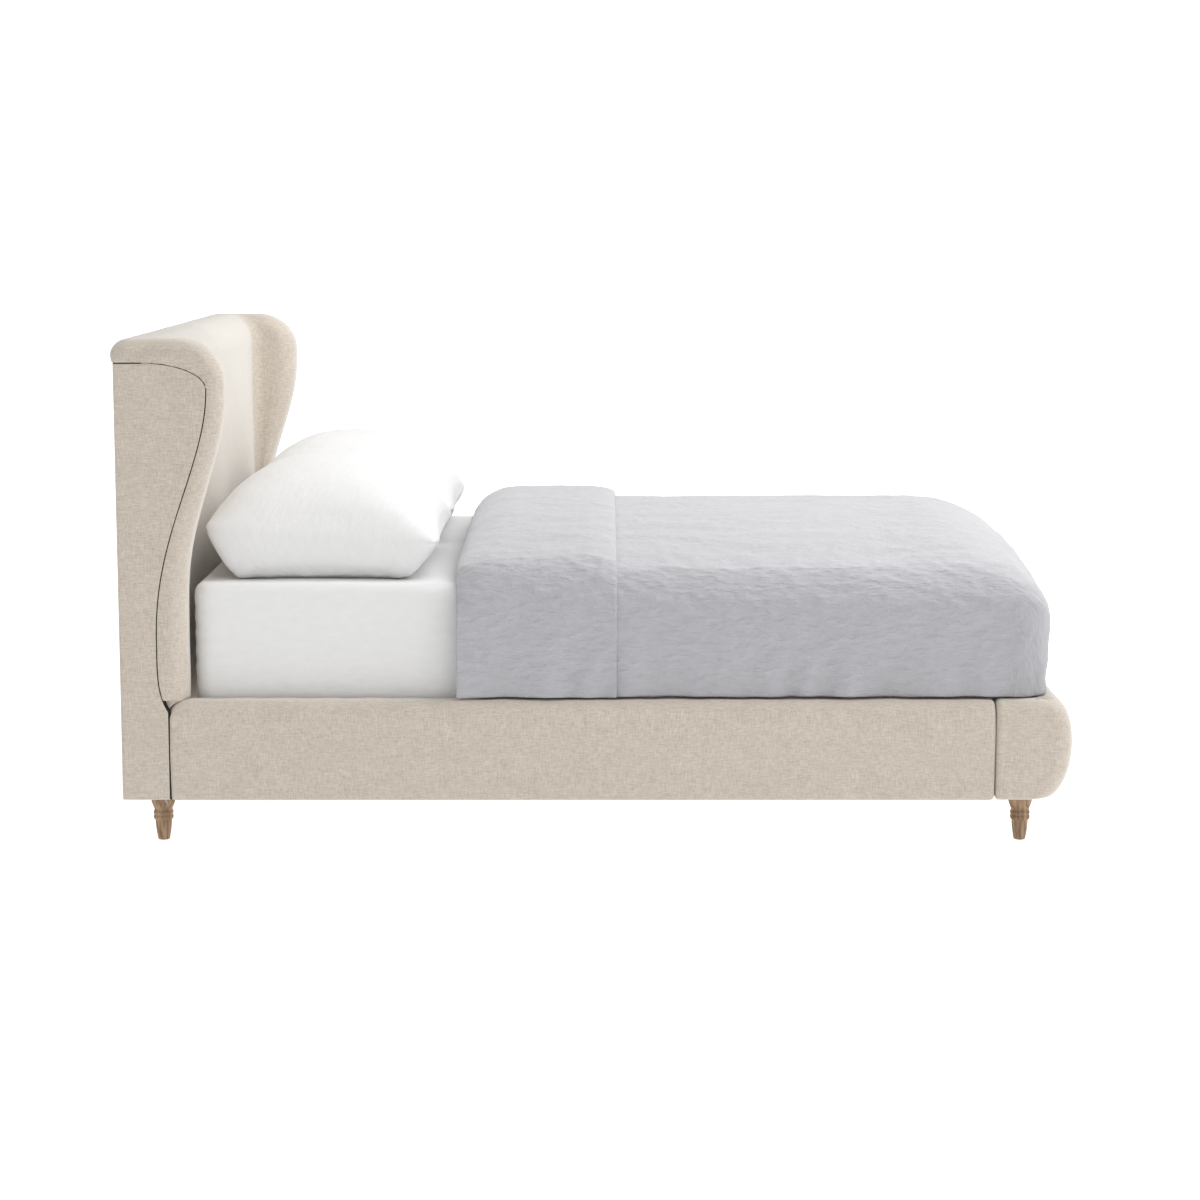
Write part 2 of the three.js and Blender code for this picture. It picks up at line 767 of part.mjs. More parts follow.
// ---- Mattress and fitted sheet ----
// A slab with rounded upright corners and rounded top and bottom edges.
function softSlab(half, lowY, highY, lowZ, highZ, corner, edge) {
  const outlineAt = (z, inset) => {
    const radius = corner - inset;
    const side = half - inset - radius;
    return bothHalves([
      ...arc(side, lowY + inset + radius, radius, radius, 270, 360, 4),
      ...arc(side, highY - inset - radius, radius, radius, 0, 90, 4),
    ]).map(([x, y]) => [x, y, z]);
  };
  const steps = arc(0, 0, edge, edge, 0, 90, 3);
  const lower = steps.slice().reverse().map(([in_, down]) => outlineAt(lowZ + edge - down, edge - in_));
  const upper = steps.map(([in_, up]) => outlineAt(highZ - edge + up, edge - in_));
  return loft([...lower, ...upper]);
}

const mattressFoot = mattressHead - mattressLength;
const sheetBottom = slatTop + gap;

function sheetSlab(inset) {
  const edge = mattressRound - inset;
  const corner = mattressCorner - inset;
  const half = mattressWidth / 2 - inset;
  return softSlab(half, mattressFoot + inset, mattressHead - inset,
    sheetBottom + inset, mattressTop - inset, corner, edge);
}

function fittedSheet() {
  const hemWidth = 110;
  const half = mattressWidth / 2 - hemWidth;
  const underside = boxBetween(
    [-half, mattressFoot + hemWidth, sheetBottom - 5],
    [half, mattressHead - hemWidth, sheetBottom + 10]);
  return cut(sheetSlab(0), sheetSlab(sheetThickness), underside);
}

addPiece('mattress', sheetSlab(sheetThickness + gap), ticking());
addPiece('fitted_sheet', fittedSheet(), whiteCotton());

// ---- Pillows ----
function pillow() {
  const halfX = 347;
  const halfY = 287;
  const seamHeight = 104;
  const seamLean = 17;
  const crown = 274;
  const underside = 1;
  const geometry = new THREE.SphereGeometry(1, 28, 14);
  geometry.rotateX(Math.PI / 2);
  const position = geometry.attributes.position;
  const soften = (value, power) => Math.sign(value) * Math.abs(value) ** power;
  for (let i = 0; i < position.count; i += 1) {
    const flat = Math.hypot(position.getX(i), position.getY(i)) || 1;
    const rim = Math.min(flat, 1) ** 0.9;
    const x = soften(position.getX(i) / flat, 0.5) * rim * halfX;
    const y = soften(position.getY(i) / flat, 0.5) * rim * halfY;
    const up = position.getZ(i);
    const seam = seamHeight + seamLean * (y / halfY);
    const z = seam + (up > 0 ? (crown - seam) * up : (seam - underside) * soften(up, 0.6));
    position.setXYZ(i, x, y, z);
  }
  geometry.deleteAttribute('normal');
  geometry.deleteAttribute('uv');
  const merged = mergeVertices(geometry, 1e-3);
  merged.computeVertexNormals();
  return merged;
}

[[-1, 'left'], [1, 'right']].forEach(([side, word]) => {
  const piece = addPiece(`pillow_${word}`, pillow(), whiteCotton());
  piece.position.set(side * pillowX, pillowY, mattressTop);
});

// ---- Duvet ----
// One upright slice of the duvet's outside: the height of its middle, the height where its
// shoulders begin, and how far it is drawn in at the sides.
function duvetSlice(y, middle, edge, drawnIn) {
  const half = duvetHalf - drawnIn;
  const shoulder = 90;
  const shoulderDrop = 105;
  const hemTuck = 6;
  const hemRise = 60;
  const dome = (x) => middle - (middle - edge) * (x / (half - shoulder)) ** 2;
  const right = [
    [half - hemTuck, duvetHem],
    [half, duvetHem + hemRise],
    ...arc(half - shoulder, edge - shoulderDrop, shoulder, shoulderDrop, 0, 90, 4),
    ...[0.75, 0.5, 0.25].map((part) => [part * (half - shoulder), dome(part * (half - shoulder))]),
  ];
  return bothHalves(right).map(([x, z]) => [x, y, z]);
}

function duvet() {
  const headRoundStart = 215;
  const footRoundStart = -820;
  const edgeHeight = 650;
  const foldSwell = 4;
  const foldTop = duvetTop + foldRise;
  const softDrop = (t, power) => 1 - (1 - t ** power) ** (1 / power);
  const headSlice = (t) => duvetSlice(
    headRoundStart + (duvetHead - headRoundStart) * t,
    foldTop - 90 * softDrop(t, 2),
    edgeHeight,
    -foldSwell);
  const footSlice = (t) => duvetSlice(
    footRoundStart + (duvetFoot - footRoundStart) * t,
    duvetTop - 175 * softDrop(t, 2.2),
    edgeHeight - 110 * softDrop(t, 6),
    30 * t ** 16);
  const outside = loftAlong([
    ...[1, 0.9, 0.75, 0.5, 0.25, 0].map(headSlice),
    duvetSlice(foldFoot + 4, foldTop, edgeHeight, -foldSwell),
    duvetSlice(foldFoot - 4, duvetTop, edgeHeight, 0),
    ...[0, 0.3, 0.5, 0.65, 0.78, 0.88, 0.94, 0.98, 1].map(footSlice),
  ]);
  const room = mattressWidth / 2 + 2.5;
  const inside = boxBetween([-room, mattressFoot - 2.5, 200], [room, 500, mattressTop + 2.5]);
  return cut(outside, inside);
}

addPiece('duvet', duvet(), greyCotton());

export default bed;
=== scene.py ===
# A king-size upholstered bed with a winged headboard, made up with its bedding.
# Units are metres. +X runs across the bed, +Y towards the headboard and +Z up.
import math

import bpy
import numpy as np
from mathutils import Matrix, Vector, noise


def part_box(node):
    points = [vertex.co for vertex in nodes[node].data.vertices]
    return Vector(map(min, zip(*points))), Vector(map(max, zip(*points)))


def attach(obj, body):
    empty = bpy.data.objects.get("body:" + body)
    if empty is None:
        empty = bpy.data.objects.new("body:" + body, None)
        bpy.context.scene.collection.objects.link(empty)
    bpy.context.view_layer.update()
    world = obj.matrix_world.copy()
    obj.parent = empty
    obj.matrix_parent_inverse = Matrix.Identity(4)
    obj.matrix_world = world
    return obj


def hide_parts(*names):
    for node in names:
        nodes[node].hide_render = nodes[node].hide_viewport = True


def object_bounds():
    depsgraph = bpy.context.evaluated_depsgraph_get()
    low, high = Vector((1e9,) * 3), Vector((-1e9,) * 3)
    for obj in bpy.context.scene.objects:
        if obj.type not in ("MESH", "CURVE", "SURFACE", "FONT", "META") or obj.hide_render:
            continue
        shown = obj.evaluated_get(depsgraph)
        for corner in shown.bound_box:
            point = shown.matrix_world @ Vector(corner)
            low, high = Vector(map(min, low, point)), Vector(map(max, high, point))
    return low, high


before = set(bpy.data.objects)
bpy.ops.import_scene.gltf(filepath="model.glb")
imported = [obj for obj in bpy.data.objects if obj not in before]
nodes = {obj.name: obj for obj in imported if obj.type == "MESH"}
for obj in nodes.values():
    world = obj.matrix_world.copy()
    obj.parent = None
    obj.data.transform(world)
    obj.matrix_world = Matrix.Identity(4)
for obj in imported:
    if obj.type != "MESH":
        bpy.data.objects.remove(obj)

cad_low, cad_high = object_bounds()

# ---- Sizes taken from the frame ----
BACK = cad_high.y
HALF = cad_high.x
TOP = cad_high.z
FOOT = cad_low.y
rail_low, rail_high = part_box("rail_cover_right")
panel_low, panel_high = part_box("wing_side_panel_right")
BASE = rail_low.z
RAIL_TOP = rail_high.z
RAIL_INNER = rail_low.x
RAIL_HEAD = rail_high.y
RAIL_FOOT = rail_low.y
SEAM_TOP = panel_high.z
SEAM_CROWN = BACK - panel_low.y

# ---- Headboard shape; depths are measured forwards from its flat back ----
HEAD_DEPTH = 0.136
SIDE_DEPTH = 0.113
WING = 0.105
SEAM_WAIST = 0.088
CORNER_DEEP = 0.150
CORNER_HIGH = 0.060
WAIST_HEIGHT = 0.478
FLARE_HEIGHT = 0.316
CROWN_SEAM = 1.078
ROLL_LOW = 0.158
ROLL_HIGH = 0.256
ROLL_START = 0.560
ROLL_FULL = 1.060
SKIRT_TOP = 0.262
TOP_ROUND = 0.050
CROWN_HEIGHT = 0.100
CROWN_REACH = 0.105
FRONT_ROUND = 0.075
BACK_ROUND = 0.035
SEAM_REVEAL = 0.0030
SEAM_TO_ROLL = 0.036
SEAM_TURN = 0.0010
SEAM_TAIL = 0.012
# Depth and width of the near-black strip of painted shade in the seam round each side panel.
SEAM_SHADE_DEPTH = 0.0012
SEAM_SHADE_WIDTH = 0.0070
HOLLOW = 0.030
REAR_EDGE = 0.014
RAIL_END_ROUND = 0.035
END_ROUND = 0.012
HIDDEN_GAP = 0.0015
LINEN_THICKNESS = 0.0025
FOOTBOARD_LINEN = 0.002
LINING_THICKNESS = 0.0015
SHEET_THICKNESS = 0.0015

# ---- Columns of the headboard's skin, counted over one half of its outline ----
FRONT_COLUMNS = 40
HOLLOW_COLUMNS = 24
WING_COLUMNS = 12
ROLL_COLUMNS = 24
CORNER_COLUMNS = 24
BAND_COLUMNS = 12
REAR_COLUMNS = 6


# ---- General helpers ----
def smooth(value):
    """0 to 1 with a soft start and finish."""
    t = np.clip(value, 0.0, 1.0)
    return t * t * (3 - 2 * t)


def sweep(low, high, z):
    """0 to 1 between two heights, starting softly."""
    return smooth(np.clip((z - low) / (high - low), 0.0, 1.0) ** 1.2)


def bump_at(value, centre, width):
    """A smooth hump of height 1."""
    return np.exp(-(((value - centre) / width) ** 2))


def arc(centre, radii, start, end, steps):
    """Points on part of an ellipse, angles in degrees."""
    angle = np.radians(np.linspace(start, end, steps + 1))
    across = centre[0] + radii[0] * np.cos(angle)
    along = centre[1] + radii[1] * np.sin(angle)
    return np.stack([across, along], axis=1)


def line(first, last, steps):
    """Points on a straight line."""
    share = np.linspace(0.0, 1.0, steps + 1)[:, None]
    return np.array(first) * (1 - share) + np.array(last) * share


def edge_drop(distance, radius):
    """How far a rounded edge has dropped at a distance in from its rim."""
    out = 1 - np.clip(distance / radius, 0.0, 1.0)
    return radius * (1 - np.sqrt(1 - out * out))


def round_inset(z, top, radius):
    """How far an edge rounded up to the top has drawn in at a height."""
    return edge_drop(top - z, radius)


def unit(vectors):
    """The same directions at length 1; a vector without length stays as it is."""
    return vectors / np.maximum(np.linalg.norm(vectors, axis=-1, keepdims=True), 1e-12)


def soft_noise(points, size, seed):
    """Smooth noise, about -1 to 1; size is the size of its features, one number or one for each axis."""
    points = np.asarray(points, float)
    places = points.reshape(-1, 3) / np.asarray(size, float) + 13.7 * seed
    values = [noise.noise(Vector(place)) for place in places]
    return np.array(values).reshape(points.shape[:-1])


def creases(points, size, seed):
    """Noise with narrow ridges, for creased cloth; 0 to 1."""
    return (1 - np.abs(soft_noise(points, size, seed))) ** 3


def grid_normals(grid, wrap=False):
    """Outward unit normals of a grid of points; rows cross columns."""
    if wrap:
        padded = np.concatenate([grid[:, -1:], grid, grid[:, :1]], axis=1)
        along = padded[:, 2:] - padded[:, :-2]
    else:
        along = np.gradient(grid, axis=1)
    return unit(np.cross(along, np.gradient(grid, axis=0)))


def cloth_lengths(grid):
    """Lengths in metres along the rows and up the columns, for the weave to follow."""
    across = np.linalg.norm(np.diff(grid, axis=1), axis=2)
    upwards = np.linalg.norm(np.diff(grid, axis=0), axis=2)
    u = np.concatenate([np.zeros((grid.shape[0], 1)), np.cumsum(across, axis=1)], axis=1)
    v = np.concatenate([np.zeros((1, grid.shape[1])), np.cumsum(upwards, axis=0)], axis=0)
    return np.stack([u, v, np.zeros_like(u)], axis=2)


def grid_faces(rows, columns, wrap=False, keep=None):
    """Quads of a grid; keep says which cells are there."""
    faces = []
    for row in range(rows - 1):
        for column in range(columns if wrap else columns - 1):
            if keep is not None and not keep[row, column]:
                continue
            right = (column + 1) % columns
            faces.append((row * columns + column, row * columns + right,
                          (row + 1) * columns + right, (row + 1) * columns + column))
    return faces


def make_object(name, points, faces, cloth, material):
    """A mesh object of the points that its faces use, with the cloth's own lengths kept on it."""
    points = np.asarray(points, float).reshape(-1, 3)
    cloth = np.asarray(cloth, float).reshape(-1, 3)
    used = sorted({index for face in faces for index in face})
    place = {index: i for i, index in enumerate(used)}
    mesh = bpy.data.meshes.new(name)
    mesh.from_pydata(points[used].tolist(), [], [[place[i] for i in face] for face in faces])
    attribute = mesh.attributes.new("cloth", "FLOAT_VECTOR", "POINT")
    attribute.data.foreach_set("vector", cloth[used].astype(np.float32).ravel())
    mesh.polygons.foreach_set("use_smooth", [True] * len(mesh.polygons))
    mesh.materials.append(material)
    mesh.update()
    piece = bpy.data.objects.new(name, mesh)
    bpy.context.scene.collection.objects.link(piece)
    return piece


def weld(piece, distance=1e-5):
    """Joins points that lie together."""
    modifier = piece.modifiers.new("weld", "WELD")
    modifier.merge_threshold = distance
    return piece


def thicken(piece, thickness):
    """Gives a skin its thickness, inwards."""
    modifier = piece.modifiers.new("thickness", "SOLIDIFY")
    modifier.thickness = thickness
    modifier.offset = -1.0


def place_piece(piece, body, slot, *replaced):
    """Says what a piece rides on and the CAD parts that it stands for; its slot is not used."""
    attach(piece, body)
    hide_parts(*replaced)


def edge_quads(outer, inner, order):
    """Quads between two rows of points; order is +1 or -1 for the way they face."""
    quads = []
    for i in range(len(outer) - 1):
        quad = (int(outer[i]), int(inner[i]), int(inner[i + 1]), int(outer[i + 1]))
        quads.append(quad if order > 0 else quad[::-1])
    return quads


def add_ring(skin, previous, ring, lengths, order):
    """Adds a row of points to a skin, a list of its points, cloth and faces, joined to the row before."""
    points, cloth, faces = skin
    current = np.arange(len(points), len(points) + len(ring))
    skin[0] = np.concatenate([points, ring])
    skin[1] = np.concatenate([cloth, lengths])
    skin[2] = faces + edge_quads(previous, current, order)
    return current


def turned_edge(skin, edge, normals, radius, tail):
    """Rounds a skin's edge over and turns it in by the length of its tail."""
    place, lengths = skin[0][edge], skin[1][edge]
    outward = unit(np.cross(np.gradient(place, axis=0), normals))
    previous = edge
    for angle, extra in ((30, 0.0), (60, 0.0), (90, 0.0), (90, tail)):
        turn = math.radians(angle)
        out = radius * math.sin(turn)
        depth = radius * (1 - math.cos(turn)) + extra
        shift = np.array([0.0, out + depth, 0.0])
        previous = add_ring(skin, previous, place + outward * out - normals * depth, lengths + shift, 1)


# ---- Materials ----
def start_material(name, roughness, **sockets):
    material = bpy.data.materials.new(name)
    material.use_nodes = True
    tree = material.node_tree
    shader = tree.nodes["Principled BSDF"]
    shader.inputs["Roughness"].default_value = roughness
    for socket, value in sockets.items():
        shader.inputs[socket.replace("_", " ")].default_value = value
    return material, tree, shader


def node(tree, kind, inputs=None, **settings):
    made = tree.nodes.new(kind)
    for key, value in settings.items():
        setattr(made, key, value)
    for key, value in (inputs or {}).items():
        if isinstance(value, bpy.types.NodeSocket):
            tree.links.new(value, made.inputs[key])
        else:
            made.inputs[key].default_value = value
    return made


def maths(tree, operation, first, second=0.0):
    return node(tree, "ShaderNodeMath", {0: first, 1: second}, operation=operation).outputs[0]


def stretched(tree, vector, scale):
    """A vector multiplied axis by axis."""
    made = node(tree, "ShaderNodeVectorMath", {0: vector, 1: scale}, operation="MULTIPLY")
    return made.outputs["Vector"]


def noise_value(tree, vector, scale, detail=2.0, roughness=0.5):
    inputs = {"Vector": vector, "Scale": scale, "Detail": detail, "Roughness": roughness}
    return node(tree, "ShaderNodeTexNoise", inputs).outputs["Fac"]


def ramp(tree, value, stops):
    """A colour ramp from (place, colour) stops."""
    made = node(tree, "ShaderNodeValToRGB", {"Fac": value})
    elements = made.color_ramp.elements
    while len(elements) < len(stops):
        elements.new(0.5)
    for element, (place, colour) in zip(elements, stops):
        element.position = place
        element.color = (*colour, 1.0)
    return made.outputs["Color"]


def mixed(tree, factor, first, second, blend="MIX"):
    made = node(tree, "ShaderNodeMix", data_type="RGBA", blend_type=blend)
    for socket, value in ((made.inputs[0], factor), (made.inputs[6], first), (made.inputs[7], second)):
        if isinstance(value, bpy.types.NodeSocket):
            tree.links.new(value, socket)
        else:
            socket.default_value = value
    return made.outputs[2]


def coloured(tree, shader, value, stops):
    tree.links.new(ramp(tree, value, stops), shader.inputs["Base Color"])


def axis_of(tree, vector, axis):
    return node(tree, "ShaderNodeSeparateXYZ", {"Vector": vector}).outputs[axis]


def mapped(tree, value, **limits):
    """A value's range mapped to another; From_Min and the rest name the limits."""
    inputs = {key.replace("_", " "): limit for key, limit in limits.items()}
    return node(tree, "ShaderNodeMapRange", {"Value": value, **inputs}).outputs["Result"]


def painted_sheen_edge_on(tree, shader, colour, painted_sheen_colour, start, most):
    """Paints sheen into the base colour: mixes in a paler colour, up to a share, where the surface is seen
    edge on.
    """
    facing = node(tree, "ShaderNodeLayerWeight", {"Blend": 0.5}).outputs["Facing"]
    share = mapped(tree, facing, From_Min=start, From_Max=0.95, To_Max=most)
    tree.links.new(mixed(tree, share, colour, (*painted_sheen_colour, 1.0)), shader.inputs["Base Color"])


def bumped(tree, shader, height, distance, strength=1.0, under=None):
    inputs = {"Height": height, "Distance": distance, "Strength": strength}
    if under is not None:
        inputs["Normal"] = under
    made = node(tree, "ShaderNodeBump", inputs)
    tree.links.new(made.outputs["Normal"], shader.inputs["Normal"])
    return made.outputs["Normal"]


def cloth_vector(tree):
    return node(tree, "ShaderNodeAttribute", attribute_name="cloth").outputs["Vector"]


def object_vector(tree):
    return node(tree, "ShaderNodeTexCoord").outputs["Object"]


def weave_height(tree, vector, pitch):
    """Plain weave: warp and weft threads that pass over and under each other."""
    turn = math.pi / pitch
    across, along = (maths(tree, "SINE", maths(tree, "MULTIPLY", axis_of(tree, vector, axis), turn))
                     for axis in "XY")
    return maths(tree, "MULTIPLY", across, along)


def thread_fields(tree, place, fine, long):
    """Slubby threads in the two directions that lie in a surface, whichever way it faces."""
    level, upright, across, along = (
        noise_value(tree, stretched(tree, place, scale), 1.0, 2.0, 0.6)
        for scale in ((long, long, fine), (fine, fine, long), (long, fine, fine), (fine, long, fine)))
    normal = node(tree, "ShaderNodeTexCoord").outputs["Normal"]
    steep = maths(tree, "ABSOLUTE", axis_of(tree, normal, "Z"))
    lying = mapped(tree, steep, From_Min=0.62, From_Max=0.82)
    lying.node.interpolation_type = "SMOOTHSTEP"
    standing = maths(tree, "ADD", level, upright)
    flat = maths(tree, "ADD", across, along)
    both = node(tree, "ShaderNodeMix", {0: lying, 2: standing, 3: flat}, data_type="FLOAT").outputs[0]
    return maths(tree, "MULTIPLY", both, 0.5)


def linen_material():
    """Oatmeal linen: a plain weave with slubs both ways, with painted sheen that makes it paler where it is
    seen edge on.
    """
    material, tree, shader = start_material(
        "oatmeal_linen", 0.92, Sheen_Weight=0.35, Sheen_Roughness=0.5,
        Sheen_Tint=(0.97, 0.96, 0.94, 1.0), Specular_IOR_Level=0.2)
    place = object_vector(tree)
    threads = thread_fields(tree, place, 560.0, 64.0)
    blotch = noise_value(tree, place, 26.0, 3.0, 0.6)
    flecks = noise_value(tree, place, 520.0, 1.0)
    base = ramp(tree, threads, [
        (0.36, (0.510, 0.447, 0.376)),
        (0.50, (0.620, 0.553, 0.474)),
        (0.64, (0.715, 0.650, 0.570)),
    ])
    tone = ramp(tree, blotch, [(0.3, (0.955, 0.95, 0.945)), (0.7, (1.0, 1.0, 1.0))])
    fleck = ramp(tree, flecks, [(0.28, (0.86, 0.84, 0.80)), (0.36, (1.0, 1.0, 1.0))])
    toned = mixed(tree, 1.0, mixed(tree, 1.0, base, tone, "MULTIPLY"), fleck, "MULTIPLY")
    # Painted sheen: the colour turns paler where the linen is seen edge on.
    painted_sheen_edge_on(tree, shader, toned, (0.79, 0.77, 0.735), 0.45, 0.60)
    slub = bumped(tree, shader, threads, 0.0016, 0.4)
    bumped(tree, shader, weave_height(tree, cloth_vector(tree), 0.0011), 0.0003, 0.5, slub)
    return material


def lining_material(name, dark, light):
    """Thin woven lining, with threads of uneven colour."""
    material, tree, shader = start_material(name, 0.95, Specular_IOR_Level=0.2)
    cloth = cloth_vector(tree)
    threads = noise_value(tree, stretched(tree, cloth, (500, 90, 1)), 1.0, 2.0)
    coloured(tree, shader, threads, [(0.3, dark), (0.7, light)])
    bumped(tree, shader, weave_height(tree, cloth, 0.0009), 0.0003, 0.5)
    return material


def cotton_material(name, dark, light, painted_sheen_colour, sheen, wrinkle):
    """Fine washed cotton, with faint creases under a close weave, painted crease shade that darkens its
    colour in the creases' hollows, and painted sheen that makes it paler seen edge on.
    """
    material, tree, shader = start_material(
        name, 0.85, Sheen_Weight=sheen, Sheen_Roughness=0.5, Specular_IOR_Level=0.25)
    cloth = cloth_vector(tree)
    threads = noise_value(tree, stretched(tree, cloth, (150, 1200, 1)), 1.0, 2.0)
    crease_and_painted_shade = noise_value(tree, stretched(tree, cloth, (26, 56, 1)), 1.0, 5.0, 0.6)
    # Part painted shade, part thread tone: the colour darkens where the crease noise is low, in the creases'
    # hollows.
    both = maths(tree, "ADD", maths(tree, "MULTIPLY", crease_and_painted_shade, 0.65), maths(tree, "MULTIPLY", threads, 0.35))
    colour = ramp(tree, both, [(0.35, dark), (0.65, light)])
    # Painted sheen: paler where the cotton is seen edge on.
    painted_sheen_edge_on(tree, shader, colour, painted_sheen_colour, 0.35, 0.7)
    soft = bumped(tree, shader, crease_and_painted_shade, wrinkle, 0.9)
    bumped(tree, shader, weave_height(tree, cloth, 0.0005), 0.00012, 0.4, soft)
    return material


def foam_material():
    """Yellow foam with open cells."""
    material, tree, shader = start_material("upholstery_foam", 1.0, Specular_IOR_Level=0.1)
    place = object_vector(tree)
    cells = node(tree, "ShaderNodeTexVoronoi", {"Vector": place, "Scale": 420.0}).outputs["Distance"]
    coloured(tree, shader, cells, [(0.0, (0.50, 0.42, 0.24)), (0.6, (0.82, 0.75, 0.52))])
    bumped(tree, shader, cells, 0.0015, 0.7)
    return material


def wood_material(name, grain, dark, middle, light, roughness, coat=0.0, knots=0.35):
    """Wood whose grain runs along one axis; grain is that axis, 0 to 2."""
    material, tree, shader = start_material(
        name, roughness, Coat_Weight=coat, Coat_Roughness=0.35, Specular_IOR_Level=0.4)
    place = object_vector(tree)
    fine = [7.0 if axis == grain else 260.0 for axis in range(3)]
    broad = [1.6 if axis == grain else 26.0 for axis in range(3)]
    fibres = noise_value(tree, stretched(tree, place, fine), 1.0, 3.0, 0.65)
    rings = noise_value(tree, stretched(tree, place, broad), 1.0, 2.0, 0.45)
    lines = maths(tree, "SINE", maths(tree, "MULTIPLY", rings, 46.0))
    growth = maths(tree, "MULTIPLY_ADD", lines, knots)
    growth.node.inputs[2].default_value = 0.5
    both = maths(tree, "ADD", maths(tree, "MULTIPLY", growth, 0.45), maths(tree, "MULTIPLY", fibres, 0.55))
    coloured(tree, shader, both, [(0.32, dark), (0.52, middle), (0.72, light)])
    bumped(tree, shader, fibres, 0.0006, 0.35)
    return material


def zinc_material():
    """Zinc-plated steel with spangles and fine scratches."""
    material, tree, shader = start_material("zinc_steel", 0.38, Metallic=1.0)
    place = object_vector(tree)
    spangle = node(tree, "ShaderNodeTexVoronoi", {"Vector": place, "Scale": 160.0}).outputs["Color"]
    value = node(tree, "ShaderNodeSeparateColor", {"Color": spangle}).outputs["Red"]
    coloured(tree, shader, value, [(0.0, (0.50, 0.51, 0.53)), (1.0, (0.66, 0.67, 0.69))])
    scratches = noise_value(tree, stretched(tree, place, (900, 60, 60)), 1.0, 3.0)
    rough = ramp(tree, scratches, [(0.3, (0.30, 0.30, 0.30)), (0.7, (0.46, 0.46, 0.46))])
    tree.links.new(rough, shader.inputs["Roughness"])
    bumped(tree, shader, scratches, 0.0002, 0.3)
    return material


def nylon_material():
    """Black moulded nylon with a fine grain."""
    material, tree, shader = start_material("black_nylon", 0.55)
    grains = noise_value(tree, object_vector(tree), 900.0, 2.0)
    coloured(tree, shader, grains, [(0.3, (0.012, 0.012, 0.013)), (0.7, (0.028, 0.028, 0.03))])
    bumped(tree, shader, grains, 0.0002, 0.4)
    return material


def ticking_material():
    """Cream mattress ticking with narrow blue-grey stripes."""
    material, tree, shader = start_material("mattress_ticking", 0.9, Sheen_Weight=0.2)
    cloth = cloth_vector(tree)
    stripe = maths(tree, "SINE", maths(tree, "MULTIPLY", axis_of(tree, cloth, "X"), math.pi / 0.011))
    coloured(tree, shader, stripe, [(0.80, (0.86, 0.84, 0.79)), (0.93, (0.55, 0.57, 0.60))])
    knit = noise_value(tree, stretched(tree, cloth, (400, 700, 1)), 1.0, 2.0)
    bumped(tree, shader, knit, 0.0005, 0.5)
    return material


def floor_material():
    """A pale floor that glows a little, so that it reads as white as the backdrop."""
    material, tree, shader = start_material("studio_floor", 0.9, Specular_IOR_Level=0.0)
    haze = noise_value(tree, object_vector(tree), 0.8, 2.0)
    coloured(tree, shader, haze, [(0.3, (0.74, 0.74, 0.74)), (0.7, (0.76, 0.76, 0.76))])
    shader.inputs["Emission Color"].default_value = (1.0, 1.0, 1.0, 1.0)
    seen = node(tree, "ShaderNodeLightPath").outputs["Is Camera Ray"]
    glow = mapped(tree, seen, To_Min=0.50, To_Max=0.86)
    tree.links.new(glow, shader.inputs["Emission Strength"])
    return material


PINE = ((0.50, 0.33, 0.17), (0.68, 0.49, 0.29), (0.78, 0.60, 0.39))
BIRCH = ((0.62, 0.46, 0.29), (0.74, 0.58, 0.40), (0.82, 0.68, 0.50))
OAK = ((0.175, 0.100, 0.050), (0.335, 0.215, 0.125), (0.455, 0.315, 0.200))

linen = linen_material()
lining = lining_material("back_lining", (0.24, 0.215, 0.18), (0.33, 0.30, 0.26))
# A near-black strip set in the seams round the side panels: painted shade standing in for the shadow inside
# the seam.
seam_painted_shade = lining_material("seam_painted_shade", (0.020, 0.017, 0.014), (0.034, 0.029, 0.024))
foam = foam_material()
zinc = zinc_material()
nylon = nylon_material()
ticking = ticking_material()
oak = wood_material("oiled_oak", 2, *OAK, 0.45, coat=0.12, knots=0.25)
pine_across = wood_material("pine_across", 0, *PINE, 0.62)
pine_along = wood_material("pine_along", 1, *PINE, 0.62)
pine_upright = wood_material("pine_upright", 2, *PINE, 0.62)
birch_across = wood_material("birch_across", 0, *BIRCH, 0.55, knots=0.2)
birch_upright = wood_material("birch_upright", 2, *BIRCH, 0.55, knots=0.2)
# Each cotton's dark and light colours span painted crease shade and thread tone; its third colour is painted
# sheen seen edge on.
white_cotton = cotton_material(
    "white_cotton", (0.802, 0.802, 0.799), (0.838, 0.838, 0.834), (0.848, 0.848, 0.846), 0.15, 0.0022)
grey_cotton = cotton_material(
    "grey_cotton", (0.456, 0.456, 0.484), (0.514, 0.514, 0.540), (0.675, 0.675, 0.690), 0.25, 0.0130)


# ---- Headboard shape ----
def seam_depth(z):
    """Depth of the seam between the roll and the side panel."""
    if z <= FLARE_HEIGHT:
        return SIDE_DEPTH
    if z < WAIST_HEIGHT:
        down = (WAIST_HEIGHT - z) / (WAIST_HEIGHT - FLARE_HEIGHT)
        return SEAM_WAIST + (SIDE_DEPTH - SEAM_WAIST) * down ** 4
    return SEAM_WAIST + (SEAM_CROWN - SEAM_WAIST) * sweep(WAIST_HEIGHT, CROWN_SEAM, z)


def roll_depth(z):
    """Depth of the front of the roll, which swells forwards to the wing and drops away at the top."""
    skirt = HEAD_DEPTH + 0.002
    low = skirt + (ROLL_LOW - skirt) * smooth((z - SKIRT_TOP) / (RAIL_TOP - SKIRT_TOP))
    depth = low + (ROLL_HIGH - ROLL_LOW) * sweep(ROLL_START, ROLL_FULL, z)
    return depth - CROWN_REACH / CROWN_HEIGHT * round_inset(z, TOP, CROWN_HEIGHT)


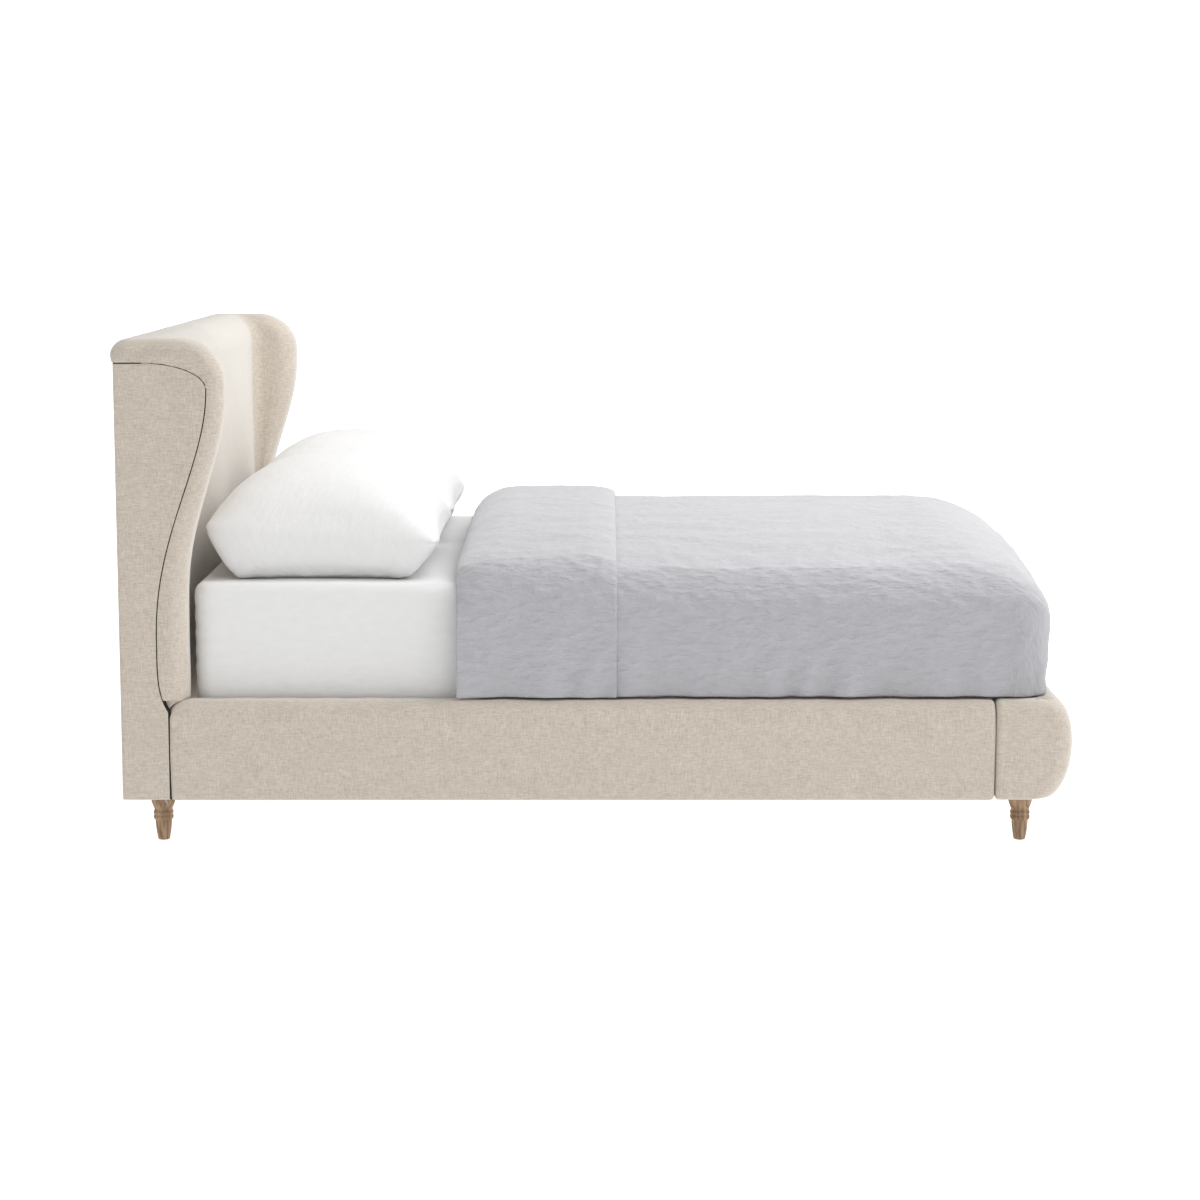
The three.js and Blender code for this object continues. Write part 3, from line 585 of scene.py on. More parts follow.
def seam_reach(z):
    """Depth where the roll ends, at its seam or at the top corner of the side panel."""
    return min(seam_depth(z) + SEAM_REVEAL, roll_depth(z) - SEAM_TO_ROLL)


CORNER_CENTRE = SEAM_CROWN - CORNER_DEEP
CORNER_BASE = SEAM_TOP - CORNER_HIGH
BAND_BASE = SEAM_TOP + SEAM_REVEAL
CORNER_ANGLES = np.linspace(0.0, math.pi / 2, CORNER_COLUMNS + 1)


def band_depths(z, rear):
    """Depths of the columns between the roll and the back, which bend round the panel's corner."""
    seam = seam_reach(z)
    share = 1 - np.cos(CORNER_ANGLES)
    rise = min(max((z - CORNER_BASE) / (CORNER_HIGH + SEAM_REVEAL), 0.0), 1.0)
    if z <= BAND_BASE:
        here = math.sqrt(1 - rise * rise)
        edge = min(CORNER_CENTRE + (CORNER_DEEP + SEAM_REVEAL) * here, seam)
        first = seam + (edge - seam) * np.minimum(share / max(1 - here, 1e-9), 1.0)
    else:
        middle = rear + CORNER_CENTRE * (seam - rear) / seam_reach(BAND_BASE)
        first = seam + (middle - seam) * share
    rest = np.linspace(first[-1], rear + REAR_EDGE, BAND_COLUMNS + 1)[1:]
    return np.concatenate([first, rest])


def headboard_half(z):
    """One half of the outline at a height, from the middle of the front to the middle of the back."""
    drawn = round_inset(z, TOP, TOP_ROUND)
    side = HALF - drawn
    inner = HALF - WING + drawn
    front = HEAD_DEPTH - round_inset(z, TOP, FRONT_ROUND)
    rear = round_inset(z, TOP, BACK_ROUND)
    roll = roll_depth(z)
    middle = (side + inner) / 2
    seam = seam_reach(z)
    convex = min(0.048, (roll - front) * 0.55)
    concave = min(HOLLOW, (roll - front) * 0.44)
    corner = inner - HOLLOW
    parts = [
        line((0.0, BACK - front), (corner, BACK - front), FRONT_COLUMNS),
        arc((corner, BACK - front - concave), (HOLLOW, concave), 90, 0, HOLLOW_COLUMNS)[1:],
        line((inner, BACK - front - concave), (inner, BACK - roll + convex), WING_COLUMNS)[1:],
        arc((middle, BACK - roll + convex), (middle - inner, convex), 180, 270, ROLL_COLUMNS)[1:],
        arc((middle, BACK - seam), (side - middle, roll - seam), 270, 360, ROLL_COLUMNS)[1:],
        np.array([(side, BACK - depth) for depth in band_depths(z, rear)[1:]]),
        arc((side - REAR_EDGE, BACK - rear - REAR_EDGE), (REAR_EDGE, REAR_EDGE), 0, 90, REAR_COLUMNS)[1:],
        line((side - REAR_EDGE, BACK - rear), (0.0, BACK - rear), FRONT_COLUMNS - REAR_COLUMNS)[1:],
    ]
    return np.concatenate(parts)


HALF_COLUMNS = 2 * (FRONT_COLUMNS + HOLLOW_COLUMNS + WING_COLUMNS + ROLL_COLUMNS)
SEAM_COLUMN = FRONT_COLUMNS + HOLLOW_COLUMNS + WING_COLUMNS + 2 * ROLL_COLUMNS


def both_halves(half):
    """A half outline and its mirror image, without repeating the two points on the middle."""
    mirror = half[-2:0:-1] * np.array([-1.0, 1.0])
    return np.concatenate([half, mirror])


def rail_room(z):
    """How far forward the headboard may come where a rail's rounded end meets it."""
    return RAIL_HEAD - round_inset(z, RAIL_TOP, RAIL_END_ROUND) + HIDDEN_GAP


def headboard_heights():
    """Heights of the rows below the panel's corner, round it and above it."""
    low = np.arange(BASE + 0.006, 0.300, 0.012)
    ledge = np.linspace(0.300, RAIL_TOP + 0.003, 16)
    tall = np.linspace(RAIL_TOP + 0.003, CORNER_BASE, 92)[1:]
    corner = CORNER_BASE + (CORNER_HIGH + SEAM_REVEAL) * np.sin(CORNER_ANGLES[1:])
    start = math.asin((BAND_BASE - TOP + CROWN_HEIGHT) / CROWN_HEIGHT)
    crown = TOP - CROWN_HEIGHT + CROWN_HEIGHT * np.sin(np.linspace(start, math.pi / 2, 22)[1:])
    return np.concatenate([low, ledge, tall]), corner, crown


def curl_under(outline, inset, z):
    """The outline drawn in by an inset, at a height."""
    run = np.roll(outline, -1, axis=0) - np.roll(outline, 1, axis=0)
    drawn = outline - unit(np.stack([run[:, 1], -run[:, 0]], axis=1)) * inset
    return np.column_stack([drawn, np.full(len(drawn), z)])


def headboard_grid():
    """The headboard's skin as rows from its base up, and the row where the panel's corner starts."""
    low, corner, crown = headboard_heights()
    curl = 0.006
    bottom = both_halves(headboard_half(low[0]))
    rows = [curl_under(bottom, curl + 0.006, BASE)]
    for angle in (0, 30, 60):
        turn = math.radians(angle)
        rows.append(curl_under(bottom, curl * (1 - math.sin(turn)), BASE + curl * (1 - math.cos(turn))))
    for z in np.concatenate([low, corner, crown]):
        outline = both_halves(headboard_half(z))
        rows.append(np.column_stack([outline, np.full(len(outline), z)]))
    grid = np.array(rows)
    for row in grid:
        z = row[0, 2]
        if z < RAIL_TOP:
            beside = np.abs(row[:, 0]) > RAIL_INNER - 0.001
            row[beside, 1] = np.maximum(row[beside, 1], rail_room(z))
            row[beside, 0] = np.clip(row[beside, 0], -HALF + 0.012, HALF - 0.012)
    corner_row = len(rows) - len(crown) - len(corner) - 1
    return grid, corner_row


def seam_distance(y, z):
    """How far points on the headboard's side are from the seam round its panel."""
    seam = [(BACK - seam_depth(height), height) for height in np.arange(BASE, CORNER_BASE, 0.006)]
    for turn in CORNER_ANGLES:
        depth = CORNER_CENTRE + CORNER_DEEP * math.cos(turn)
        seam.append((BACK - depth, CORNER_BASE + CORNER_HIGH * math.sin(turn)))
    seam += [(BACK - depth, SEAM_TOP) for depth in np.arange(CORNER_CENTRE, -0.01, -0.006)]
    return np.min([np.hypot(y - along, z - height) for along, height in seam], axis=0)


def headboard_relief(grid, normals):
    """Small swellings, tension lines and the puckers round the seam's corner."""
    x, y, z = np.abs(grid[..., 0]), grid[..., 1], grid[..., 2]
    relief = 0.0009 * soft_noise(grid, (0.09, 0.09, 0.12), 1)
    from_seam = seam_distance(y, z)
    on_side = smooth((x - HALF + 0.05) / 0.035) * smooth((z - RAIL_TOP) / 0.03)
    on_side *= smooth((BACK - y) / 0.03)
    relief += on_side * (0.0056 * bump_at(from_seam, 0.040, 0.024) - 0.0012 * np.exp(-from_seam / 0.012))
    relief += 0.0065 * smooth((y - BACK + 0.075) / 0.06) * bump_at(z, SEAM_TOP + 0.022, 0.024)
    rise, reach = (z - CORNER_BASE) / CORNER_HIGH, (BACK - y - CORNER_CENTRE) / CORNER_DEEP
    around = np.arctan2(rise, reach)
    away = np.clip((np.hypot(rise, reach) - 1) * CORNER_HIGH, 0, 1)
    on_roll = smooth((x - 0.77) / 0.03) * smooth((around + 0.7) / 0.4) * smooth((2.2 - around) / 0.4)
    relief += 0.0011 * np.sin(around * 34 + 1.5 * np.sin(around * 9)) * np.exp(-away / 0.014) * on_roll
    relief -= 0.0016 * bump_at(around, 0.62, 0.05) * np.exp(-away / 0.02) * on_roll
    relief -= 0.0014 * bump_at(around, 1.02, 0.045) * np.exp(-away / 0.018) * on_roll
    lowest = -0.0016 - 0.2 * np.maximum(from_seam - 0.008, 0)
    relief = np.where(on_roll + on_side > 0, np.maximum(relief, lowest), relief)
    return grid + normals * relief[..., None]


def headboard_edge(corner_row, columns):
    """(row, column) of the points along the skin's edge, round both side panels and across the back."""
    right = [(row, SEAM_COLUMN) for row in range(corner_row + 1)]
    right += [(corner_row + step, SEAM_COLUMN + step) for step in range(1, CORNER_COLUMNS + 1)]
    band_row = corner_row + CORNER_COLUMNS
    right += [(band_row, column) for column in range(SEAM_COLUMN + CORNER_COLUMNS + 1, HALF_COLUMNS + 1)]
    return right + [(row, columns - column) for row, column in right[-2::-1]]


def headboard_upholstery():
    """The headboard's linen, open where the side panels and the back lining are."""
    grid, corner_row = headboard_grid()
    columns = grid.shape[1]
    grid = headboard_relief(grid, grid_normals(grid, wrap=True))
    edge_normals = grid_normals(grid, wrap=True)
    partner = (HALF_COLUMNS - np.arange(columns)) % columns
    top_row = grid[-1]
    middle = [top_row + (top_row[partner] - top_row) * share for share in (0.25, 0.5)]
    grid = np.concatenate([grid, np.array(middle)])
    half_column = np.minimum(np.arange(columns), columns - 1 - np.arange(columns))
    keep = np.ones(grid.shape[:2], bool)
    triangles = []
    for row in range(corner_row + CORNER_COLUMNS):
        step = row - corner_row
        keep[row] = half_column < SEAM_COLUMN + max(step, 0)
        if step >= 0:
            here = row * columns + SEAM_COLUMN + step
            triangles.append((here, here + columns + 1, here + columns))
            here = (row + 1) * columns - SEAM_COLUMN - step
            triangles.append((here + columns, here + columns - 1, here))
    faces = grid_faces(*grid.shape[:2], wrap=True, keep=keep) + triangles
    edge = np.array([row * columns + column for row, column in headboard_edge(corner_row, columns)])
    skin = [grid.reshape(-1, 3), cloth_lengths(grid).reshape(-1, 3), faces]
    turned_edge(skin, edge, edge_normals.reshape(-1, 3)[edge], SEAM_TURN, SEAM_TAIL)
    points, cloth, faces = skin
    piece = make_object("headboard_upholstery", points, faces, cloth, linen)
    weld(piece)
    thicken(piece, LINEN_THICKNESS)
    place_piece(piece, "bed_frame", "oatmeal_linen", "headboard_cover")


PANEL_GAP = 0.0006
PANEL_TOP = SEAM_TOP - PANEL_GAP
PANEL_ROUND = 0.0018
PANEL_REAR_ROUND = 0.008
PANEL_FOOT_ROUND = 0.006


def panel_front(z):
    """Depth of the side panel's front edge, round its top corner too."""
    if z <= CORNER_BASE:
        return seam_depth(z) - PANEL_GAP
    rise = min((z - CORNER_BASE) / CORNER_HIGH, 1.0)
    return CORNER_CENTRE + (CORNER_DEEP - PANEL_GAP) * math.sqrt(1 - rise * rise)


def panel_grid():
    """The right panel's face in rows from the bottom; each row runs from the back to the front."""
    heights = np.concatenate([
        BASE + PANEL_FOOT_ROUND * (1 - np.cos(np.radians([0, 30, 60]))),
        np.arange(BASE + PANEL_FOOT_ROUND, FLARE_HEIGHT, 0.012),
        np.linspace(FLARE_HEIGHT, CORNER_BASE, 76),
        CORNER_BASE + (PANEL_TOP - CORNER_BASE) * np.sin(CORNER_ANGLES[1:])])
    fine = np.array([0.0, 0.0004, 0.001, 0.0018, 0.0028, 0.004, 0.006])
    outline = np.array([(BACK - panel_front(z), z) for z in heights])
    rows = []
    for z in heights:
        width = panel_front(z)
        middle = np.linspace(PANEL_REAR_ROUND, width - fine[-1], 22)[1:-1]
        depth = np.concatenate([PANEL_REAR_ROUND * (fine / fine[-1]), middle, width - fine[::-1]])
        y = BACK - depth
        from_front = np.array([
            np.min(np.hypot(outline[:, 0] - place, outline[:, 1] - z)) for place in y])
        drop = edge_drop(np.minimum(from_front, PANEL_TOP - z), PANEL_ROUND)
        drop = drop + edge_drop(depth, PANEL_REAR_ROUND) + edge_drop(z - BASE, PANEL_FOOT_ROUND)
        crown = 0.0012 * smooth(from_front / 0.05)
        rows.append(np.column_stack([HALF - drop + crown, y, np.full(len(y), z)]))
    grid = np.array(rows)
    grid[..., 0] += 0.0005 * soft_noise(grid, (0.1, 0.08, 0.14), 2)
    return grid


def wing_panel(side, word):
    """The flat padded panel set into the headboard's side, with a near-black strip of painted shade in the
    seam round it, standing in for the seam's shadow.
    """
    grid = panel_grid() * np.array([side, 1.0, 1.0])
    rows, columns = grid.shape[:2]
    faces = grid_faces(rows, columns)
    if side > 0:
        faces = [face[::-1] for face in faces]
    cloth = grid[..., [1, 2, 0]] * np.array([1.0, 1.0, 0.0])
    skin = [grid.reshape(-1, 3), cloth.reshape(-1, 3), faces]
    rim = [(row, columns - 1) for row in range(rows)]
    rim += [(rows - 1, column) for column in range(columns - 2, -1, -1)]
    edge = np.array([row * columns + column for row, column in rim])
    place = skin[0][edge]
    run = np.gradient(place, axis=0)
    outward = unit(np.stack([np.zeros(len(edge)), -run[:, 2], run[:, 1]], axis=1))
    # The near-black strip is painted shade, set just below the panel's edge where the seam's shadow falls.
    lengths = skin[1][edge] + SEAM_SHADE_DEPTH
    inner = place - np.array([side * SEAM_SHADE_DEPTH, 0.0, 0.0])
    shade_strip_edge = add_ring(skin, edge, inner, lengths, -side)
    add_ring(skin, shade_strip_edge, inner + outward * SEAM_SHADE_WIDTH, lengths, -side)
    points, cloth, every_face = skin
    piece = make_object(f"wing_panel_{word}", points, every_face, cloth, linen)
    piece.data.materials.append(seam_painted_shade)
    for index in range(len(faces), len(every_face)):
        piece.data.polygons[index].material_index = 1
    weld(piece)
    thicken(piece, LINEN_THICKNESS)
    place_piece(piece, "bed_frame", "oatmeal_linen", f"wing_side_panel_{word}")


def back_lining():
    """The lining stapled across the headboard's back, drawn in a little along its edges."""
    low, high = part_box("headboard_back_panel")
    across = np.linspace(low.x, high.x, 160)
    upwards = np.linspace(low.z, high.z, 110)
    x, z = np.meshgrid(across, upwards)
    from_edge = np.minimum(np.minimum(x - low.x, high.x - x), np.minimum(z - low.z, high.z - z))
    tucks = 0.5 + 0.5 * np.sin(2 * math.pi * np.where(np.abs(x) > np.abs(z - 0.62) * 1.5, z, x) / 0.055)
    flat = np.stack([x, np.zeros_like(x), z], axis=2)
    y = high.y - 0.0012 - 0.0012 * tucks * np.exp(-from_edge / 0.02)
    y += 0.0010 * soft_noise(flat, (0.25, 1.0, 0.2), 3) * smooth(from_edge / 0.08)
    grid = np.stack([x, y, z], axis=2)
    cloth = np.stack([x, z, np.zeros_like(x)], axis=2)
    faces = [face[::-1] for face in grid_faces(*x.shape)]
    piece = make_object("back_lining_cloth", grid, faces, cloth, lining)
    thicken(piece, LINING_THICKNESS)
    place_piece(piece, "bed_frame", "back_lining", "headboard_back_panel")


# ---- Side rails ----
def rail_section(top, inset, low_inset):
    """A rail's section as (x, z), anticlockwise, with its top at a height, drawn in by an inset."""
    outer_round = 0.025
    inner_round = 0.008
    low_round = 0.006
    outer = HALF - inset
    inner = RAIL_INNER + inset
    low = BASE - 0.0008 + low_inset
    parts = [
        line((inner + low_round, low), (outer - low_round, low), 8),
        arc((outer - low_round, low + low_round), (low_round, low_round), 270, 360, 4)[1:],
        line((outer, low + low_round), (outer, top - outer_round), 26)[1:],
        arc((outer - outer_round, top - outer_round), (outer_round, outer_round), 0, 90, 12)[1:],
        line((outer - outer_round, top), (inner + inner_round, top), 6)[1:],
        arc((inner + inner_round, top - inner_round), (inner_round, inner_round), 90, 180, 5)[1:],
        line((inner, top - inner_round), (inner, low + low_round), 20)[1:],
        arc((inner + low_round, low + low_round), (low_round, low_round), 180, 270, 4)[1:-1],
    ]
    return np.concatenate(parts)


def rail_upholstery(side, word):
    """A side rail's linen, square at the foot end and rounded down at the head end."""
    stations = []
    for angle in np.linspace(math.pi / 2, 0, 9):
        inset = END_ROUND * (1 - math.cos(angle))
        y = RAIL_FOOT + 0.001 + END_ROUND * (1 - math.sin(angle))
        stations.append((y, RAIL_TOP - inset, inset))
    head_start = RAIL_HEAD - RAIL_END_ROUND
    stations += [(y, RAIL_TOP, 0.0) for y in np.arange(RAIL_FOOT + 0.02, head_start - 0.01, 0.014)]
    for angle in np.linspace(0, math.pi / 2, 16):
        y = head_start + RAIL_END_ROUND * math.sin(angle)
        inset = round_inset(y, RAIL_HEAD, END_ROUND)
        stations.append((y, RAIL_TOP - RAIL_END_ROUND * (1 - math.cos(angle)), inset))
    rows = []
    for y, top, inset in stations:
        section = rail_section(top, inset, inset * 0.6)
        rows.append(np.column_stack([section[:, 0], np.full(len(section), y), section[:, 1]]))
    grid = np.array(rows)
    normals = -grid_normals(grid, wrap=True)
    swell = 0.0012 * bump_at(grid[..., 2], (BASE + RAIL_TOP) / 2, 0.09)
    relief = swell + 0.0007 * soft_noise(grid, (0.09, 0.16, 0.07), 4)
    relief += 0.0006 * np.sin(grid[..., 1] * 61) * bump_at(grid[..., 2], RAIL_TOP - 0.008, 0.02)
    grid = grid + normals * relief[..., None] * (grid[..., 2:] > BASE + 0.003)
    grid[..., 0] *= side
    rows, columns = grid.shape[:2]
    cloth = np.stack([grid[..., 1], cloth_lengths(grid)[..., 0], np.zeros((rows, columns))], axis=2)
    faces = grid_faces(rows, columns, wrap=True)
    faces.append(tuple(range(columns))[::-1])
    faces.append(tuple((rows - 1) * columns + column for column in range(columns)))
    if side > 0:
        faces = [face[::-1] for face in faces]
    piece = make_object(f"rail_upholstery_{word}", grid, faces, cloth, linen)
    place_piece(piece, "bed_frame", "oatmeal_linen", f"rail_cover_{word}")


# ---- Footboard ----
FOOT_CORNER = 0.052
FOOT_BULGE = 0.240
FOOT_TUCK = 0.062
FOOT_CURL = 0.009
FOOT_TOP_ROUND = 0.045
FOOT_INNER_ROUND = 0.006
FOOT_INNER_CORNER = 0.012
FOOT_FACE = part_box("centre_rail_hanger_foot")[0].y - 0.0003


def foot_inset(z):
    """How far the footboard's face has drawn in at a height."""
    down = min((FOOT_BULGE - z) / (FOOT_BULGE - BASE), 1.0)
    if down > 0:
        return FOOT_TUCK * (1 - math.sqrt(1 - down * down))
    up = min((z - FOOT_BULGE) / (RAIL_TOP - FOOT_BULGE), 1.0)
    return FOOT_TOP_ROUND * (1 - math.sqrt(1 - up * up))


def footboard_half(side, front, corner, end):
    """One half of the footboard's outline, from the middle of its front to its end at the rail."""
    shares = (1.0, 0.9, 0.8, 0.7, 0.6, 0.5, 0.4, 0.3, 0.22, 0.15, 0.1, 0.06, 0.03, 0.01, 0.0)
    spread = end - (end - front - corner) * np.array(shares)
    return np.concatenate([
        line((0.0, front), (side - corner, front), 44),
        arc((side - corner, front + corner), (corner, corner), 270, 360, 44)[1:],
        np.array([(side, y) for y in spread])[1:],
    ])


def footboard_rows():
    """(height, side, front, corner radius) of each line round the footboard, from outside to inside."""
    rows = [(BASE, HALF - 2 * FOOT_CURL, FOOT + FOOT_TUCK + FOOT_CURL, FOOT_CORNER)]
    for angle in np.linspace(math.pi / 2, 0, 26):
        z = FOOT_BULGE - (FOOT_BULGE - BASE) * math.sin(angle)
        below = min(max((BASE + FOOT_CURL - z) / FOOT_CURL, 0.0), 1.0)
        curl = FOOT_CURL * (1 - math.sqrt(1 - below * below))
        rows.append((z, HALF - curl, FOOT + foot_inset(z), FOOT_CORNER - 0.4 * curl))
    for angle in np.linspace(0, math.pi / 2, 22)[1:]:
        z = FOOT_BULGE + (RAIL_TOP - FOOT_BULGE) * math.sin(angle)
        drawn = round_inset(z, RAIL_TOP, 0.025)
        rows.append((z, HALF - drawn, FOOT + foot_inset(z), FOOT_CORNER - 0.4 * drawn))
    outer = rows[-1]
    lip = (RAIL_TOP, RAIL_INNER + FOOT_INNER_ROUND, FOOT_FACE - FOOT_INNER_ROUND, FOOT_INNER_CORNER)
    for share in (0.2, 0.4, 0.6, 0.8, 1.0):
        row = np.array(outer) * (1 - share) + np.array(lip) * share
        row[0] += 0.0015 * math.sin(math.pi * share)
        rows.append(tuple(row))
    for angle in (30, 60, 90):
        turn = math.radians(angle)
        inset = FOOT_INNER_ROUND * (1 - math.sin(turn))
        z = RAIL_TOP - FOOT_INNER_ROUND * (1 - math.cos(turn))
        rows.append((z, RAIL_INNER + inset, FOOT_FACE - inset, FOOT_INNER_CORNER))
    for z in np.linspace(RAIL_TOP - FOOT_INNER_ROUND, BASE, 16)[1:]:
        rows.append((z, RAIL_INNER, FOOT_FACE, FOOT_INNER_CORNER))
    return rows


# Each pleat's direction in degrees, how it curves, and where it starts and ends from the corner.
FOOT_PLEATS = (
    (10, 260, 0.018, 0.058), (30, 300, 0.016, 0.070), (52, 260, 0.014, 0.066), (76, 200, 0.016, 0.056))


def footboard_pleats(grid, normals):
    """Folds where the cloth is gathered over the top corners."""
    x, y, z = np.abs(grid[..., 0]), grid[..., 1], grid[..., 2]
    centre_x = RAIL_INNER - FOOT_INNER_CORNER
    centre_y = FOOT_FACE + FOOT_INNER_CORNER
    around = np.degrees(np.arctan2(-(y - centre_y), x - centre_x))
    reach = np.hypot(x - centre_x, y - centre_y)
    relief = np.zeros_like(x)
    for angle, lean, low, high in FOOT_PLEATS:
        along = angle + lean * (reach - 0.03)
        across = np.radians(around - along) * reach
        run = smooth((reach - low) / 0.012) * smooth((high - reach) / 0.02)
        top = smooth((z - RAIL_TOP + 0.05) / 0.03)
        relief -= 0.0032 * bump_at(across, 0.0, 0.0022) * run * top
        relief += 0.0016 * bump_at(across, 0.006, 0.004) * run * top
    return grid + normals * relief[..., None]


def footboard_upholstery():
    """The footboard's linen, wrapped round both corners and closed at its ends."""
    end = RAIL_FOOT - 0.0016
    rows = []
    for z, side, front, corner in footboard_rows():
        half = footboard_half(side, front, corner, end - END_ROUND)
        full = np.concatenate([half[:0:-1] * np.array([-1.0, 1.0]), half])
        rows.append(np.column_stack([full, np.full(len(full), z)]))
    grid = np.array(rows)
    normals = grid_normals(grid)
    relief = 0.0008 * soft_noise(grid, (0.12, 0.12, 0.07), 5)
    grid = grid + normals * relief[..., None]
    grid = footboard_pleats(grid, grid_normals(grid))
    section_run = np.gradient(grid[:, -1], axis=0)
    section_out = unit(np.stack([section_run[:, 2], np.zeros(len(rows)), -section_run[:, 0]], axis=1))
    ends = []
    for angle in (18, 36, 54, 72, 90):
        turn = math.radians(angle)
        ring = grid[:, -1] - section_out * END_ROUND * (1 - math.cos(turn))
        ring[:, 1] = end - END_ROUND + END_ROUND * math.sin(turn)
        ends.append(ring)
    partner = len(rows) - 1 - np.arange(len(rows))
    for share in (0.25, 0.5):
        ring = ends[4] + (ends[4][partner] - ends[4]) * share
        ring[:, 1] = end
        ends.append(ring)
    right = np.stack(ends, axis=1)
    left = right[:, ::-1] * np.array([-1.0, 1.0, 1.0])
    grid = np.concatenate([left, grid, right], axis=1)
    faces = grid_faces(*grid.shape[:2])
    piece = make_object("footboard_upholstery", grid, faces, cloth_lengths(grid), linen)
    weld(piece)
    thicken(piece, FOOTBOARD_LINEN)
    place_piece(piece, "bed_frame", "oatmeal_linen", "footboard_cover")


# ---- Feet ----
def turned_foot(node_name):
    """A turned foot: a flared collar, two beads and a tapering peg."""
    low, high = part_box(node_name)
    centre = (low + high) / 2
    profile = np.array([
        (0.0, 0.0), (0.0100, 0.0), (0.0126, 0.0006), (0.0139, 0.0022), (0.0146, 0.005), (0.0154, 0.010),
        (0.0172, 0.020), (0.0186, 0.031), (0.0193, 0.040), (0.0195, 0.0452), (0.0201, 0.0464),
        (0.0219, 0.0474), (0.0232, 0.0498), (0.0237, 0.0528), (0.0232, 0.0558), (0.0222, 0.0576),
        (0.0222, 0.0586), (0.0232, 0.0602), (0.0237, 0.0632), (0.0231, 0.0660), (0.0219, 0.0682),
        (0.0214, 0.0700), (0.0219, 0.0728), (0.0236, 0.0766), (0.0258, 0.0815), (0.0275, 0.0865),
        (0.0288, 0.0920), (0.0295, 0.0970), (0.0296, 0.0990), (0.0, 0.0990)])
    profile[:, 1] *= (high.z - 0.0005) / profile[-1, 1]
    steps = 56
    angles = np.linspace(0, 2 * math.pi, steps, endpoint=False)
    fine = []
    for first, second in zip(profile[:-1], profile[1:]):
        fine += [first, (first + second) / 2]
    fine.append(profile[-1])
    grid = np.array([
        [(centre.x + r * math.cos(a), centre.y + r * math.sin(a), z) for a in angles] for r, z in fine])
    faces = grid_faces(len(fine), steps, wrap=True)
    piece = make_object(node_name + "_turned", grid, faces, np.zeros_like(grid), oak)
    weld(piece)
    place_piece(piece, "bed_frame", "oiled_oak", node_name)


# ---- Mattress and fitted sheet ----
MATTRESS_LOW, MATTRESS_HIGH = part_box("fitted_sheet")
SLAB_MIDDLE = MATTRESS_HIGH.x - 0.004
SLAB_CORNER = 0.045
SHEET_TUCK = 0.110


def slab_outline(inset, corner):
    """A rounded rectangle, drawn in by an inset, anticlockwise from the middle of the foot."""
    half = MATTRESS_HIGH.x - inset
    low = MATTRESS_LOW.y + inset
    high = MATTRESS_HIGH.y - inset
    middle = (low + high) / 2
    radius = max(corner - inset, 0.004)
    return both_halves(np.concatenate([
        line((0.0, low), (half - radius, low), 42),
        arc((half - radius, low + radius), (radius, radius), 270, 360, 8)[1:],
        line((half, low + radius), (half, middle), 56)[1:],
        line((half, middle), (half, high - radius), 56)[1:],
        arc((half - radius, high - radius), (radius, radius), 0, 90, 8)[1:],
        line((half - radius, high), (0.0, high), 42)[1:],
    ]))


def slab_grid(levels, corner, closed_below):
    """Rows round a slab, closed along the middle of its top and, if wanted, of its underside."""
    middle = np.array([0.0, 1.0, 1.0])
    rows = []
    for inset, z in levels:
        outline = slab_outline(inset, corner)
        rows.append(np.column_stack([outline, np.full(len(outline), z)]))
    rows.append(rows[-1] * middle)
    if closed_below:
        rows.insert(0, rows[0] * middle)
    return np.array(rows)


def slab_levels(low, high, edge, hem, skin):
    """(inset, height) pairs from the hem underneath, up the side and over the top."""
    levels = [(inset, low + skin) for inset in np.linspace(hem, edge, 7)[:-1]]
    turns = np.radians(np.linspace(0, 90, 8))
    curve = [(edge * (1 - math.sin(turn)), edge * (1 - math.cos(turn))) for turn in turns]
    levels += [(skin + inset, low + skin + rise) for inset, rise in curve]
    levels += [(skin, z) for z in np.linspace(low + edge, high - edge, 22)[1:-1]]
    levels += [(skin + inset, high - skin - fall) for fall, inset in curve]
    levels += [(inset, high - skin) for inset in np.linspace(edge + skin, SLAB_MIDDLE, 40)[1:]]
    return levels


def mattress_soft():
    """The mattress itself: striped ticking with a taped edge above and below."""
    levels = slab_levels(MATTRESS_LOW.z, MATTRESS_HIGH.z, 0.024, SLAB_MIDDLE, 0.005)
    grid = slab_grid(levels, SLAB_CORNER, True)
    normals = grid_normals(grid, wrap=True)
    z = grid[..., 2:]
    tape = bump_at(z, MATTRESS_LOW.z + 0.022, 0.005) + bump_at(z, MATTRESS_HIGH.z - 0.022, 0.005)
    grid = grid + normals * 0.0015 * tape
    faces = grid_faces(*grid.shape[:2], wrap=True)
    cloth = np.stack([grid[..., 0], grid[..., 1] + grid[..., 2], np.zeros(grid.shape[:2])], axis=2)
    piece = make_object("mattress_soft", grid, faces, cloth, ticking)
    weld(piece, 1e-4)
    place_piece(piece, "mattress_and_sheet", "mattress_ticking", "mattress")


